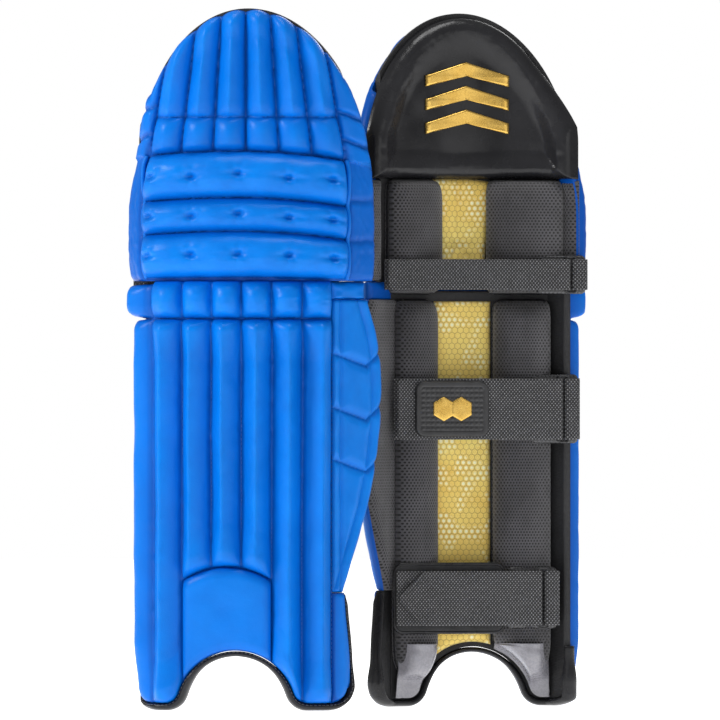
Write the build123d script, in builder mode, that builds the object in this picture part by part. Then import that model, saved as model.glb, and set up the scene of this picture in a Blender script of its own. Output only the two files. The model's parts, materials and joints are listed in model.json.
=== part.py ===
"""Pair of cricket batting pads: two leg guards of one hand, stood up on their lobes, one behind the other.

Every piece is drawn once, in the pad's own frame: x runs across the leg with the side wing at +x, y runs from
the front of the pad back to the leg, z is up, and z = 0 is the floor under the two lobes. The front of the pad
is a slice of a cylinder about the leg axis. The second loop at the end places each piece in both pads.
Sizes are millimetres and degrees.
"""

import os
from math import asin, cos, degrees, radians, sin

from build123d import *

# --- overall shape ---------------------------------------------------------------------------------------
pad_height = 703.0  # floor to the top of the arched top edge
front_radius = 240.0  # outer face of the stiffener boards, about the leg axis
leg_axis_x = -13.0  # the front bulges most a little to the inner side
board_thickness = 8.0  # stiffener board with its covering
shoulder_rise = 104.5  # from the knee hinge to where the arched top begins
arch_half_width = 116.0  # half width of the arched top at the shoulder
arch_centre_x = 8.0  # the arched top leans towards the wing
pad_spacing_x = 227.0  # between the two pads' frames, across
pad_spacing_y = 190.0  # and from front to back
front_pad_turn = -8.0  # each pad stands turned a little about the vertical
rear_pad_turn = 192.0

# --- clearances ------------------------------------------------------------------------------------------
skin_gap = 0.3  # between a cushion and the board that it is sewn to
seam_gap = 0.6  # between neighbouring cushions
bolster_gap = 1.5  # behind the boards, where the knee section has to move past
flex_gap = 4.5  # half the gap between the two boards at the knee hinge
rib_trim = 0.15  # degrees taken off each edge of a rib
bolster_trim = 2.0  # degrees between a bolster and what lies beside it
rib_miter = 2.0  # room for the corner where the inner rib turns back
side_miter = 8.0  # room for the corner where the knee's side pieces turn back
liner_setback = 4.0  # from the binding up to the lower end of the liner
anchor_margin = 4.0  # anchor patch above and below its strap

# --- shin section ----------------------------------------------------------------------------------------
hinge_height = 425.5  # knee hinge
inner_seam_angle = -18.0  # seam between the turned-back inner rib and the front ribs
front_rib_count = 6
rib_width = 30.0
rib_height = 16.0  # how far a front rib stands out from the board
inner_rib_width = 29.0
inner_rib_height = 12.0
inner_flank_turn = 62.0  # how sharply the inner edge turns back
inner_flank_gap = 5.0  # least distance of the bolsters' crown line behind the inner edge
crease_gap = 2.0  # between the shin ribs and the knuckles
cane_diameter = 6.0  # rod inside each rib
cane_clearance = 0.3
cane_setback = 6.0  # from each end of its rib
knuckle_length = 33.0
knuckle_rise = 1.5  # top of the knuckles above the hinge
inner_knuckle_drop = 8.0  # the turned-back one ends lower, clear of the knee section
knuckle_height = 17.0

# --- foot of the pad -------------------------------------------------------------------------------------
lobe_inner_x = -112.0
lobe_outer_x = 109.0
lobe_corner = 22.0
instep_centre_x = -5.0
instep_radius = 52.5
instep_rise = 0.5  # height of the centre of the instep cut-out
binding_width = 8.0
binding_depth = 22.0
instep_panel_top = 130.0  # at its corners
instep_panel_crown = 14.0  # rise of its top edge in the middle
instep_panel_depth = 12.0
first_panel_seam = 1  # the panel covers the ribs between these two seams
last_panel_seam = 4

# --- side wing -------------------------------------------------------------------------------------------
wing_fold = 23.7  # how far the wing turns back from the boards at its seam
wing_start = 8.0  # from the seam to the wing's own edge
wing_reach = 73.0  # widest point, out from the seam
wing_reach_height = 321.0
wing_top_width = 57.0
wing_foot_width = 17.0
wing_bottom = 118.0
wing_drop = 13.5  # top of the wing below the knee hinge
wing_proud = 4.0  # outer face, out from the boards' outer face
wing_thickness = 12.0
wing_lining_thickness = 6.0
flank_foot_width = 26.0  # turned-back edge of the board below the wing

# --- knee section ----------------------------------------------------------------------------------------
knee_inner_angle = -19.0
knee_outer_angle = 28.0
roll_rise = 8.5  # lowest roll above the knee hinge
roll_lengths = (46.0, 33.5, 46.0)  # lower, middle and upper knee rolls, up the pad
roll_depth = 24.0
top_rib_count = 6
top_rib_height = 17.0
inner_side_turn = 60.0
inner_side_width = 28.0
outer_side_turn = 45.0
outer_side_width = 33.0
side_thickness = 13.0

# --- rear cushions and linings ---------------------------------------------------------------------------
crown_rise = 21.56  # rearmost line of all the bolsters, behind the boards' corner at the wing
calf_bolster_bottom = 34.0
calf_bolster_drop = 14.5  # tops of the calf bolsters below the knee hinge
knee_bolster_drop = 6.5  # bottoms of the knee bolsters below it
top_pad_rise = 108.5  # bottom of the top panel above it
top_pad_depth = 14.0
calf_inner_edge_x = -28.0  # edges of the leg channel between the bolsters
calf_outer_edge_x = 40.0
knee_inner_edge_x = -20.0
knee_outer_edge_x = 34.0
liner_depth = 4.0
knee_cup_rise = 29.5  # bottom of the knee cup above the knee hinge
knee_cup_depth = 6.0
knee_cup_taper = 9.0  # each side narrows this much from top to bottom
patch_depth = 2.0

# --- straps ----------------------------------------------------------------------------------------------
webbing = 2.2  # thickness of one layer
ring_bar = 2.4
ring_pitch = 10.0  # between the two upright bars of a ring
ring_clearance = 0.3
strap_side_clearance = 1.5
anchor_thickness = 1.5
anchor_overlap = 30.0  # how far the anchor patch runs in under the strap
tab_length = 11.0
strap_seat = 0.3  # between the bolsters and what lies on them
sewn_inset = {"top": 3.7, "middle": 2.3, "bottom": 4.3}  # sewn end of each strap, in from the boards' corner
top_strap = {"height": hinge_height + 12.0, "width": 31.0, "bar_x": -94.0, "tip": 3.0, "backing": 0.0}
middle_strap = {"height": 301.5, "width": 62.0, "bar_x": -86.0, "tip": 4.0, "backing": 0.0}
bottom_strap = {"height": 110.0, "width": 55.0, "bar_x": -64.0, "tip": 25.0, "backing": 4.0}
tail_setback = 4.0  # from the sewn end of a strap to the free end of its tail
backing_width = 70.0
backing_far_x = -30.0
badge_width = 76.0
badge_height = 56.0
badge_depth = 4.0
badge_corner = 9.0
badge_x = 26.0

# --- worked out from the sizes above ---------------------------------------------------------------------
rib_pitch = degrees(rib_width / front_radius)
wing_seam_angle = inner_seam_angle + front_rib_count * rib_pitch
wing_turn = wing_seam_angle + wing_fold
outer_seam_depth = front_radius * (1 - cos(radians(wing_seam_angle)))
inner_seam_depth = front_radius * (1 - cos(radians(inner_seam_angle)))
inner_flank_depth = inner_seam_depth + inner_rib_width * sin(radians(inner_flank_turn))
crown_depth = max(outer_seam_depth + crown_rise, inner_flank_depth + inner_flank_gap)
outer_face = front_radius + skin_gap
inner_face = front_radius - board_thickness - skin_gap
bolster_face = front_radius - board_thickness - bolster_gap
shin_board_top = hinge_height - flex_gap
knee_board_bottom = hinge_height + flex_gap
shoulder_height = hinge_height + shoulder_rise
arch_height = pad_height - shoulder_height
knuckle_top = hinge_height + knuckle_rise
knuckle_bottom = knuckle_top - knuckle_length
rib_top = knuckle_bottom - crease_gap
roll_bottom = hinge_height + roll_rise
roll_top = roll_bottom + sum(roll_lengths)
wing_top = hinge_height - wing_drop
calf_bolster_top = hinge_height - calf_bolster_drop
knee_bolster_bottom = hinge_height - knee_bolster_drop
top_pad_bottom = hinge_height + top_pad_rise
knee_cup_bottom = hinge_height + knee_cup_rise
bar_radius = ring_bar / 2
wrap_inner = bar_radius + ring_clearance
wrap_outer = wrap_inner + webbing
leg_axis = Axis((leg_axis_x, front_radius, 0), (0, 0, 1))
pieces = {}


def arc_point(angle, radius):
    """Plan point at an angle from straight ahead, towards the wing, and a distance from the leg axis."""
    return (leg_axis_x + radius * sin(radians(angle)), front_radius - radius * cos(radians(angle)))


def angle_at(x, radius):
    """Angle about the leg axis at which a circle of this radius crosses x."""
    return degrees(asin((x - leg_axis_x) / radius))


def seam_angle(number):
    """Angle of a seam between front ribs, counted from the inner side."""
    return inner_seam_angle + number * rib_pitch


def radial_plane(angle):
    """Upright plane through the leg axis, with its x pointing outwards."""
    outwards = (sin(radians(angle)), -cos(radians(angle)), 0)
    across = (-cos(radians(angle)), -sin(radians(angle)), 0)
    return Plane(origin=(leg_axis_x, front_radius, 0), x_dir=outwards, z_dir=across)


def flank_point(side, seam, turn, along, out):
    """Plan point on an edge that turns back at a seam; side is 1 at the wing and -1 at the inner edge."""
    x, y = arc_point(seam, front_radius)
    x += side * (along * cos(radians(turn)) + out * sin(radians(turn)))
    y += along * sin(radians(turn)) - out * cos(radians(turn))
    return (x, y)


def sector(start, end, inner, outer):
    """Slice of ring in plan."""
    middle = (start + end) / 2
    with BuildSketch() as face:
        with BuildLine():
            ThreePointArc(arc_point(start, inner), arc_point(middle, inner), arc_point(end, inner))
            Line(arc_point(end, inner), arc_point(end, outer))
            ThreePointArc(arc_point(end, outer), arc_point(middle, outer), arc_point(start, outer))
            Line(arc_point(start, outer), arc_point(start, inner))
        make_face()
    return face.sketch


def dome(start, end, base, height):
    """Rounded rib in plan, on a base circle about the leg axis."""
    middle = (start + end) / 2
    with BuildSketch() as face:
        with BuildLine():
            ThreePointArc(arc_point(start, base), arc_point(middle, base), arc_point(end, base))
            ThreePointArc(arc_point(end, base), arc_point(middle, base + height), arc_point(start, base))
        make_face()
    return face.sketch


def flank_plate(side, seam, turn, start, end, inside, outside):
    """Flat piece in plan, on an edge that turns back."""
    with BuildSketch() as face:
        with BuildLine():
            Polyline(
                flank_point(side, seam, turn, start, inside),
                flank_point(side, seam, turn, end, inside),
                flank_point(side, seam, turn, end, outside),
                flank_point(side, seam, turn, start, outside),
                close=True,
            )
        make_face()
    return face.sketch


def flank_dome(side, seam, turn, start, end, base, height):
    """Rounded rib in plan, on an edge that turns back."""
    first = flank_point(side, seam, turn, start, base)
    last = flank_point(side, seam, turn, end, base)
    with BuildSketch() as face:
        with BuildLine():
            Line(first, last)
            ThreePointArc(last, flank_point(side, seam, turn, (start + end) / 2, base + height), first)
        make_face()
    return face.sketch


def crown_point(first, last):
    """Where the circle through two plan points touches the crown line between them."""
    slope = (last[1] - first[1]) / (last[0] - first[0])
    meeting = first[0] + (crown_depth - first[1]) / slope
    tangent = (1 + slope**2) ** 0.5 * ((meeting - first[0]) * (meeting - last[0])) ** 0.5
    return (meeting - tangent if slope > 0 else meeting + tangent, crown_depth)


def bolster(start, end):
    """Rear bolster in plan, from the boards to the crown line."""
    base = [arc_point(angle, bolster_face) for angle in (start, (start + end) / 2, end)]
    with BuildSketch() as face:
        with BuildLine():
            ThreePointArc(*base)
            ThreePointArc(base[2], crown_point(base[0], base[2]), base[0])
        make_face()
    return face.sketch


def foot_outline(inset):
    """Front view of the shin section: two lobes and the instep cut-out."""
    low = lobe_inner_x + inset
    high = lobe_outer_x - inset
    with BuildSketch() as outline:
        with Locations(((low + high) / 2, inset)):
            Rectangle(high - low, hinge_height, align=(Align.CENTER, Align.MIN))
        with Locations((instep_centre_x, instep_rise)):
            Circle(instep_radius + inset, mode=Mode.SUBTRACT)
        fillet(outline.vertices().group_by(Axis.Y)[0], lobe_corner - inset)
    return outline.sketch


def arch_outline(inset):
    """Front view of the knee section: straight sides and an arched top."""
    half_width = arch_half_width - inset
    left = arch_centre_x - half_width
    right = arch_centre_x + half_width
    with BuildSketch() as outline:
        with BuildLine():
            Polyline((left, shoulder_height), (left, 0), (right, 0), (right, shoulder_height))
            EllipticalCenterArc((arch_centre_x, shoulder_height), half_width, arch_height - inset, arc_size=180)
        make_face()
    return outline.sketch


def panel_outline(margin):
    """Front view of the instep panel, with its arched top edge."""
    left = arc_point(seam_angle(first_panel_seam), front_radius)[0]
    right = arc_point(seam_angle(last_panel_seam), front_radius)[0]
    top = instep_panel_top + margin
    with BuildSketch() as outline:
        with BuildLine():
            ThreePointArc((left, top), ((left + right) / 2, top + instep_panel_crown), (right, top))
            Polyline((right, top), (right, 0), (left, 0), (left, top))
        make_face()
    return outline.sketch


def trim(outline, mode=Mode.INTERSECT):
    """Keep or cut, from front to back, what lies inside an outline drawn in front view."""
    extrude(Plane.XZ * outline, amount=front_radius, both=True, mode=mode)


def corner_x(angle):
    """Corner of the boards' outer face at an angle, across the leg."""
    return arc_point(angle, front_radius)[0]


def strap_depth(strap):
    """Distance of a strap's ring bars behind the boards' outer face."""
    return crown_depth + strap_seat + anchor_thickness + strap["backing"] + ring_clearance + wrap_outer


def strap_layer(strap, start, end, depth):
    """Flat run of webbing in plan, between two places across the leg."""
    with BuildSketch() as layer:
        with Locations((start, depth)):
            Rectangle(end - start, webbing, align=Align.MIN)
    return layer.sketch


def half_wrap(x, depth, side):
    """Webbing in plan, folded halfway round an upright bar on its side that faces side, 1 or -1 in x."""
    with BuildSketch() as wrap:
        with Locations((x, depth)):
            Circle(wrap_outer)
            Circle(wrap_inner, mode=Mode.SUBTRACT)
            far_half = (Align.MAX if side > 0 else Align.MIN, Align.CENTER)
            Rectangle(2 * wrap_outer, 3 * wrap_outer, align=far_half, mode=Mode.SUBTRACT)
    return wrap.sketch


def ring_path(strap):
    """Centre line of a strap's rectangular ring."""
    half = strap["width"] / 2 + strap_side_clearance + bar_radius
    near = strap["bar_x"]
    far = near - ring_pitch
    low = strap["height"] - half
    high = strap["height"] + half
    with BuildLine(Plane.XZ.offset(-strap_depth(strap))) as path:
        FilletPolyline((near, low), (near, high), (far, high), (far, low), radius=ring_bar, close=True)
    return path.line


def strap_level(strap):
    """Level plane at the lower edge of a strap."""
    return Plane.XY.offset(strap["height"] - strap["width"] / 2)


def tail_outline(strap):
    """Front view of a tail, with its trimmed free end."""
    start = strap["bar_x"] - wrap_outer
    end = strap["sewn_x"] - tail_setback
    low = strap["height"] - strap["width"] / 2
    high = strap["height"] + strap["width"] / 2
    tip = strap["tip"]
    with BuildSketch() as outline:
        with BuildLine():
            Polyline(
                (start, low),
                (end - tip, low),
                (end, low + tip),
                (end, high - tip),
                (end - tip, high),
                (start, high),
                close=True,
            )
        make_face()
    return outline.sketch


top_strap["sewn_x"] = corner_x(knee_outer_angle) - sewn_inset["top"]
middle_strap["sewn_x"] = corner_x(wing_seam_angle) - sewn_inset["middle"]
bottom_strap["sewn_x"] = corner_x(wing_seam_angle) - sewn_inset["bottom"]

# --- shin section ----------------------------------------------------------------------------------------
with BuildPart() as shin_board:
    with BuildSketch():
        add(sector(inner_seam_angle, wing_seam_angle, front_radius - board_thickness, front_radius))
        add(flank_plate(-1, inner_seam_angle, inner_flank_turn, 0, inner_rib_width, -board_thickness, 0))
    extrude(amount=shin_board_top)
    with BuildSketch():
        add(flank_plate(1, wing_seam_angle, wing_turn, 0, flank_foot_width, -board_thickness, 0))
    extrude(amount=wing_bottom - seam_gap)
    trim(foot_outline(binding_width + skin_gap))
pieces["shin_board"] = shin_board

with BuildPart() as shin_ribs:
    with BuildSketch():
        add(flank_dome(-1, inner_seam_angle, inner_flank_turn, rib_miter, inner_rib_width, skin_gap, inner_rib_height))
        for rib in range(front_rib_count):
            add(dome(seam_angle(rib) + rib_trim, seam_angle(rib + 1) - rib_trim, outer_face, rib_height))
            with Locations(arc_point(seam_angle(rib + 0.5), outer_face + rib_height / 2)):
                Circle(cane_diameter / 2 + cane_clearance, mode=Mode.SUBTRACT)
    extrude(amount=rib_top)
    trim(foot_outline(binding_width + skin_gap))
    trim(panel_outline(seam_gap), Mode.SUBTRACT)
    with BuildSketch(Plane.XY.offset(knuckle_bottom)):
        add(flank_dome(-1, inner_seam_angle, inner_flank_turn, rib_miter, inner_rib_width, skin_gap, inner_rib_height))
    extrude(amount=knuckle_length - inner_knuckle_drop)
    with BuildSketch(Plane.XY.offset(knuckle_bottom)):
        for rib in range(front_rib_count):
            add(dome(seam_angle(rib) + rib_trim, seam_angle(rib + 1) - rib_trim, outer_face, knuckle_height))
    extrude(amount=knuckle_length)
pieces["shin_ribs"] = shin_ribs

with BuildPart() as shin_canes:
    for rib in range(front_rib_count):
        over_panel = first_panel_seam <= rib < last_panel_seam
        lower_end = (instep_panel_top + instep_panel_crown if over_panel else lobe_corner) + cane_setback
        with BuildSketch(Plane.XY.offset(lower_end)):
            with Locations(arc_point(seam_angle(rib + 0.5), outer_face + rib_height / 2)):
                Circle(cane_diameter / 2)
        extrude(amount=rib_top - cane_setback - lower_end)
    trim(foot_outline(binding_width + cane_setback))
pieces["shin_canes"] = shin_canes

with BuildPart() as instep_panel:
    with BuildSketch():
        start = seam_angle(first_panel_seam) + rib_trim
        end = seam_angle(last_panel_seam) - rib_trim
        add(sector(start, end, outer_face, outer_face + instep_panel_depth))
    extrude(amount=hinge_height)
    trim(panel_outline(0))
    trim(foot_outline(binding_width + skin_gap))
pieces["instep_panel"] = instep_panel

with BuildPart() as edge_binding:
    inside = front_radius - (board_thickness + binding_depth) / 2
    outside = inside + binding_depth
    with BuildSketch():
        add(sector(inner_seam_angle, wing_seam_angle, inside, outside))
        for side, seam, turn in ((-1, inner_seam_angle, inner_flank_turn), (1, wing_seam_angle, wing_turn)):
            reach = inner_rib_width + binding_width if side < 0 else flank_foot_width + binding_width
            add(flank_plate(side, seam, turn, -rib_miter, reach, inside - front_radius, outside - front_radius))
    extrude(amount=instep_radius + instep_rise + binding_width)
    trim(foot_outline(0))
    trim(foot_outline(binding_width), Mode.SUBTRACT)
pieces["edge_binding"] = edge_binding

calf_inner_angle = angle_at(calf_inner_edge_x, bolster_face)
calf_outer_angle = angle_at(calf_outer_edge_x, bolster_face)

with BuildPart() as calf_bolster_inner:
    with BuildSketch(Plane.XY.offset(calf_bolster_bottom)):
        add(bolster(inner_seam_angle + bolster_trim, calf_inner_angle))
    extrude(amount=calf_bolster_top - calf_bolster_bottom)
    trim(foot_outline(binding_width + seam_gap))
pieces["calf_bolster_inner"] = calf_bolster_inner

with BuildPart() as calf_bolster_outer:
    with BuildSketch(Plane.XY.offset(calf_bolster_bottom)):
        add(bolster(calf_outer_angle, wing_seam_angle - bolster_trim))
    extrude(amount=calf_bolster_top - calf_bolster_bottom)
    trim(foot_outline(binding_width + seam_gap))
pieces["calf_bolster_outer"] = calf_bolster_outer

with BuildPart() as shin_liner:
    with BuildSketch():
        start = calf_inner_angle + bolster_trim
        end = calf_outer_angle - bolster_trim
        add(sector(start, end, inner_face - liner_depth, inner_face))
    extrude(amount=calf_bolster_top)
    trim(foot_outline(binding_width + liner_setback))
pieces["shin_liner"] = shin_liner

with BuildPart() as wear_patches:
    with BuildSketch(Plane.XY.offset(binding_width + seam_gap)):
        add(sector(inner_seam_angle + bolster_trim, calf_inner_angle - bolster_trim, inner_face - patch_depth, inner_face))
        add(sector(calf_outer_angle + bolster_trim, wing_seam_angle - bolster_trim, inner_face - patch_depth, inner_face))
    extrude(amount=calf_bolster_bottom - binding_width - 2 * seam_gap)
    trim(foot_outline(binding_width + seam_gap))
pieces["wear_patches"] = wear_patches

# --- side wing -------------------------------------------------------------------------------------------
wing_corner = arc_point(wing_seam_angle, front_radius)
wing_out = Vector(sin(radians(wing_turn)), -cos(radians(wing_turn)), 0)
wing_plane = Plane(
    origin=Vector(*wing_corner, 0) + wing_out * wing_proud,
    x_dir=(cos(radians(wing_turn)), sin(radians(wing_turn)), 0),
    z_dir=wing_out,
)


def wing_outline(inset):
    """Side view of the wing, from its seam out to its widest point."""
    top = wing_top - inset
    bottom = wing_bottom + inset
    start = wing_start + inset
    with BuildSketch() as outline:
        with BuildLine():
            Polyline((start, top), (start, bottom), (wing_foot_width - inset, bottom))
            Spline(
                (wing_foot_width - inset, bottom),
                (wing_reach - inset, wing_reach_height),
                (wing_top_width - inset, top),
                tangents=((0.25, 1), (-0.1, 1)),
            )
            Line((wing_top_width - inset, top), (start, top))
        make_face()
    return outline.sketch


with BuildPart() as wing_panel:
    extrude(wing_plane * wing_outline(0), amount=-wing_thickness)
pieces["wing_panel"] = wing_panel

with BuildPart() as wing_lining:
    extrude(wing_plane.offset(-wing_thickness - skin_gap) * wing_outline(seam_gap), amount=-wing_lining_thickness)
pieces["wing_lining"] = wing_lining

# --- knee section ----------------------------------------------------------------------------------------
knee_sweep = knee_outer_angle - knee_inner_angle

with BuildPart() as knee_board:
    with BuildSketch(Plane.XY.offset(knee_board_bottom)):
        add(sector(knee_inner_angle, knee_outer_angle, front_radius - board_thickness, front_radius))
    extrude(amount=pad_height - knee_board_bottom)
    trim(arch_outline(skin_gap))
pieces["knee_board"] = knee_board

with BuildPart() as knee_rolls:
    bottom = roll_bottom
    for length in roll_lengths:
        with BuildSketch(radial_plane(knee_inner_angle)):
            with BuildLine():
                half = (length - seam_gap) / 2
                EllipticalCenterArc((outer_face, bottom + half), roll_depth, half, -90, arc_size=180)
                Line((outer_face, bottom + 2 * half), (outer_face, bottom))
            make_face()
        revolve(axis=leg_axis, revolution_arc=knee_sweep)
        bottom += length
pieces["knee_rolls"] = knee_rolls

with BuildPart() as top_ribs:
    with BuildSketch(Plane.XY.offset(roll_top)):
        step = knee_sweep / top_rib_count
        for rib in range(top_rib_count):
            start = knee_inner_angle + rib * step
            add(dome(start + rib_trim, start + step - rib_trim, outer_face, top_rib_height))
    extrude(amount=pad_height - roll_top)
    trim(arch_outline(0))
pieces["top_ribs"] = top_ribs

with BuildPart() as knee_side_pieces:
    with BuildSketch(Plane.XY.offset(knee_board_bottom)):
        add(flank_plate(-1, knee_inner_angle, inner_side_turn, side_miter, inner_side_width, -board_thickness,
                        side_thickness - board_thickness))
        add(flank_plate(1, knee_outer_angle, outer_side_turn, side_miter, outer_side_width, -board_thickness,
                        side_thickness - board_thickness))
    extrude(amount=pad_height - knee_board_bottom)
    trim(arch_outline(0))
pieces["knee_side_pieces"] = knee_side_pieces

knee_inner_edge = angle_at(knee_inner_edge_x, bolster_face)
knee_outer_edge = angle_at(knee_outer_edge_x, bolster_face)
knee_bolster_top = top_pad_bottom - seam_gap

with BuildPart() as knee_bolster_inner:
    with BuildSketch(Plane.XY.offset(knee_bolster_bottom)):
        add(bolster(knee_inner_angle + bolster_trim, knee_inner_edge))
    extrude(amount=knee_bolster_top - knee_bolster_bottom)
pieces["knee_bolster_inner"] = knee_bolster_inner

with BuildPart() as knee_bolster_outer:
    with BuildSketch(Plane.XY.offset(knee_bolster_bottom)):
        add(bolster(knee_outer_edge, knee_outer_angle - bolster_trim))
    extrude(amount=knee_bolster_top - knee_bolster_bottom)
pieces["knee_bolster_outer"] = knee_bolster_outer

with BuildPart() as knee_cup:
    with BuildSketch(Plane.XY.offset(knee_cup_bottom)):
        start = knee_inner_edge + bolster_trim
        end = knee_outer_edge - bolster_trim
        add(sector(start, end, inner_face - knee_cup_depth, inner_face))
    extrude(amount=knee_bolster_top - knee_cup_bottom)
    with BuildSketch() as cup_outline:
        with BuildLine():
            Polyline(
                (knee_inner_edge_x, knee_bolster_top),
                (knee_outer_edge_x, knee_bolster_top),
                (knee_outer_edge_x - knee_cup_taper, knee_cup_bottom),
                (knee_inner_edge_x + knee_cup_taper, knee_cup_bottom),
                close=True,
            )
        make_face()
    trim(cup_outline.sketch)
pieces["knee_cup"] = knee_cup

with BuildPart() as top_pad:
    with BuildSketch(Plane.XY.offset(top_pad_bottom)):
        add(sector(knee_inner_angle, knee_outer_angle, inner_face - top_pad_depth, inner_face))
    extrude(amount=pad_height - top_pad_bottom)
    trim(arch_outline(binding_width))
pieces["top_pad"] = top_pad

# --- straps ----------------------------------------------------------------------------------------------


def build_bases(straps):
    """Layer of webbing from each sewn end to the ring."""
    for strap in straps:
        start = strap["bar_x"] + wrap_outer + ring_clearance
        layer = strap_layer(strap, start, strap["sewn_x"], strap_depth(strap) - wrap_outer)
        extrude(strap_level(strap) * layer, amount=strap["width"])


def build_rings(straps):
    """Rectangular ring of round bar for each strap, standing behind the inner edge."""
    for strap in straps:
        path = ring_path(strap)
        with BuildSketch(Plane(path @ 0, z_dir=path % 0)) as bar:
            Circle(bar_radius)
        sweep(bar.sketch, path=path)


def build_tabs(straps):
    """Webbing folded round the far bar of each ring, with the anchor patch that it is sewn to."""
    for strap in straps:
        depth = strap_depth(strap)
        far = strap["bar_x"] - ring_pitch
        with BuildSketch(strap_level(strap)) as tab:
            add(half_wrap(far, depth, 1))
            add(strap_layer(strap, far - tab_length, far, depth - wrap_outer))
            add(strap_layer(strap, far - tab_length, far, depth + wrap_inner))
        extrude(tab.sketch, amount=strap["width"])
        with BuildSketch(strap_level(strap).offset(-anchor_margin)) as patch:
            with Locations((far - tab_length, crown_depth + strap_seat)):
                Rectangle(anchor_overlap + ring_pitch + tab_length, anchor_thickness, align=Align.MIN)
        extrude(patch.sketch, amount=strap["width"] + 2 * anchor_margin)


with BuildPart() as shin_strap_bases:
    build_bases((middle_strap, bottom_strap))
pieces["shin_strap_bases"] = shin_strap_bases

with BuildPart() as top_strap_base:
    build_bases((top_strap,))
pieces["top_strap_base"] = top_strap_base

with BuildPart() as shin_rings:
    build_rings((middle_strap, bottom_strap))
pieces["shin_rings"] = shin_rings

with BuildPart() as top_ring:
    build_rings((top_strap,))
pieces["top_ring"] = top_ring

with BuildPart() as shin_ring_tabs:
    build_tabs((middle_strap, bottom_strap))
pieces["shin_ring_tabs"] = shin_ring_tabs

with BuildPart() as top_ring_tab:
    build_tabs((top_strap,))
pieces["top_ring_tab"] = top_ring_tab

for strap_name, strap in (("top", top_strap), ("middle", middle_strap), ("bottom", bottom_strap)):
    with BuildPart() as tail:
        with BuildSketch(strap_level(strap)):
            add(half_wrap(strap["bar_x"], strap_depth(strap), -1))
            end = strap["sewn_x"] - tail_setback
            add(strap_layer(strap, strap["bar_x"], end, strap_depth(strap) + wrap_inner))
        extrude(amount=strap["width"])
        trim(tail_outline(strap))
    pieces[f"{strap_name}_tail"] = tail

with BuildPart() as strap_backing:
    with BuildSketch(Plane.XZ.offset(-crown_depth - strap_seat)):
        with Locations(((backing_far_x + bottom_strap["sewn_x"]) / 2, bottom_strap["height"])):
            RectangleRounded(bottom_strap["sewn_x"] - backing_far_x, backing_width, badge_corner)
    extrude(amount=-bottom_strap["backing"])
pieces["strap_backing"] = strap_backing

with BuildPart() as badge:
    with BuildSketch(Plane.XZ.offset(-strap_depth(middle_strap) - wrap_outer - skin_gap)):
        with Locations((badge_x, middle_strap["height"])):
            RectangleRounded(badge_width, badge_height, badge_corner)
    extrude(amount=-badge_depth)
pieces["badge"] = badge

# --- both pads -------------------------------------------------------------------------------------------
placings = {
    "pad_a": Pos(-pad_spacing_x / 2, -pad_spacing_y / 2, 0) * Rot(0, 0, front_pad_turn),
    "pad_b": Pos(pad_spacing_x / 2, pad_spacing_y / 2, 0) * Rot(0, 0, rear_pad_turn),
}
placed = {}
for pad, place in placings.items():
    for name, built in pieces.items():
        placed[f"{pad}_{name}"] = place * built.part

boxes = [shape.bounding_box() for shape in placed.values()]
low = [min(tuple(box.min)[axis] for box in boxes) for axis in range(3)]
high = [max(tuple(box.max)[axis] for box in boxes) for axis in range(3)]
to_centre = Pos(-(low[0] + high[0]) / 2, -(low[1] + high[1]) / 2, -low[2])
os.makedirs("parts", exist_ok=True)
for name, shape in placed.items():
    piece = to_centre * shape
    piece.label = name
    export_step(piece, f"parts/{name}.step")
print("size", [top - bottom for bottom, top in zip(low, high)], "moved by", to_centre.position)
print(len(placed), "nodes")
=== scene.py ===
"""Looks of the pair of cricket batting pads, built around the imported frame.

Every soft piece is worked out once, in the pad's own frame and in millimetres: x across the leg
with the side wing at +x, y from the front of the pad back to the leg, z up. Both pads then show
a copy of the mesh, each at its own place, which comes from the record's knee joint.
"""

import json
import math

import bpy
import numpy as np
from mathutils import Matrix, Vector

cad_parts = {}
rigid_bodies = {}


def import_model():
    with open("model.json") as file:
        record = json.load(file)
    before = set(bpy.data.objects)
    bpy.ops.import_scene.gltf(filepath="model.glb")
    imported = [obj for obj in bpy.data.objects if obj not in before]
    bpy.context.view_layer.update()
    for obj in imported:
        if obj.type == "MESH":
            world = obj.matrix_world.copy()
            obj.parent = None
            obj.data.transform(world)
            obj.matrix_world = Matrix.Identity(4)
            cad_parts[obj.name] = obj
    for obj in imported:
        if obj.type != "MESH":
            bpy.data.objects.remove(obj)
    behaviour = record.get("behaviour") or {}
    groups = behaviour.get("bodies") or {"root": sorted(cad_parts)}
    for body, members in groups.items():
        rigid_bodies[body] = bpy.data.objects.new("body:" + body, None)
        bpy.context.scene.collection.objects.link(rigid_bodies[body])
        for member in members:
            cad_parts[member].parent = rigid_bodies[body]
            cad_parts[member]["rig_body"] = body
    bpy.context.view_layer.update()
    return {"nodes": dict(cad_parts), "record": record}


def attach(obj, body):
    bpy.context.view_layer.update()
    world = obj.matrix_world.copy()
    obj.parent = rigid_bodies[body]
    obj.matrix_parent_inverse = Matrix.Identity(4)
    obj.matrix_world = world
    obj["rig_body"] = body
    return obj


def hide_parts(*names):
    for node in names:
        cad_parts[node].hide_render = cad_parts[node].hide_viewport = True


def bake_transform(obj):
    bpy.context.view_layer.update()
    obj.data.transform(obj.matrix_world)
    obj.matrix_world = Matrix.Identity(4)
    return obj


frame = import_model()

MM = 0.001
FRONT_RADIUS = 240.0  # outer face of the boards, about the leg axis
LEG_AXIS_X = -13.0
BOARD = 8.0
HINGE = (-13.0, 4.0, 425.5)  # knee hinge in the pad's frame

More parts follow.
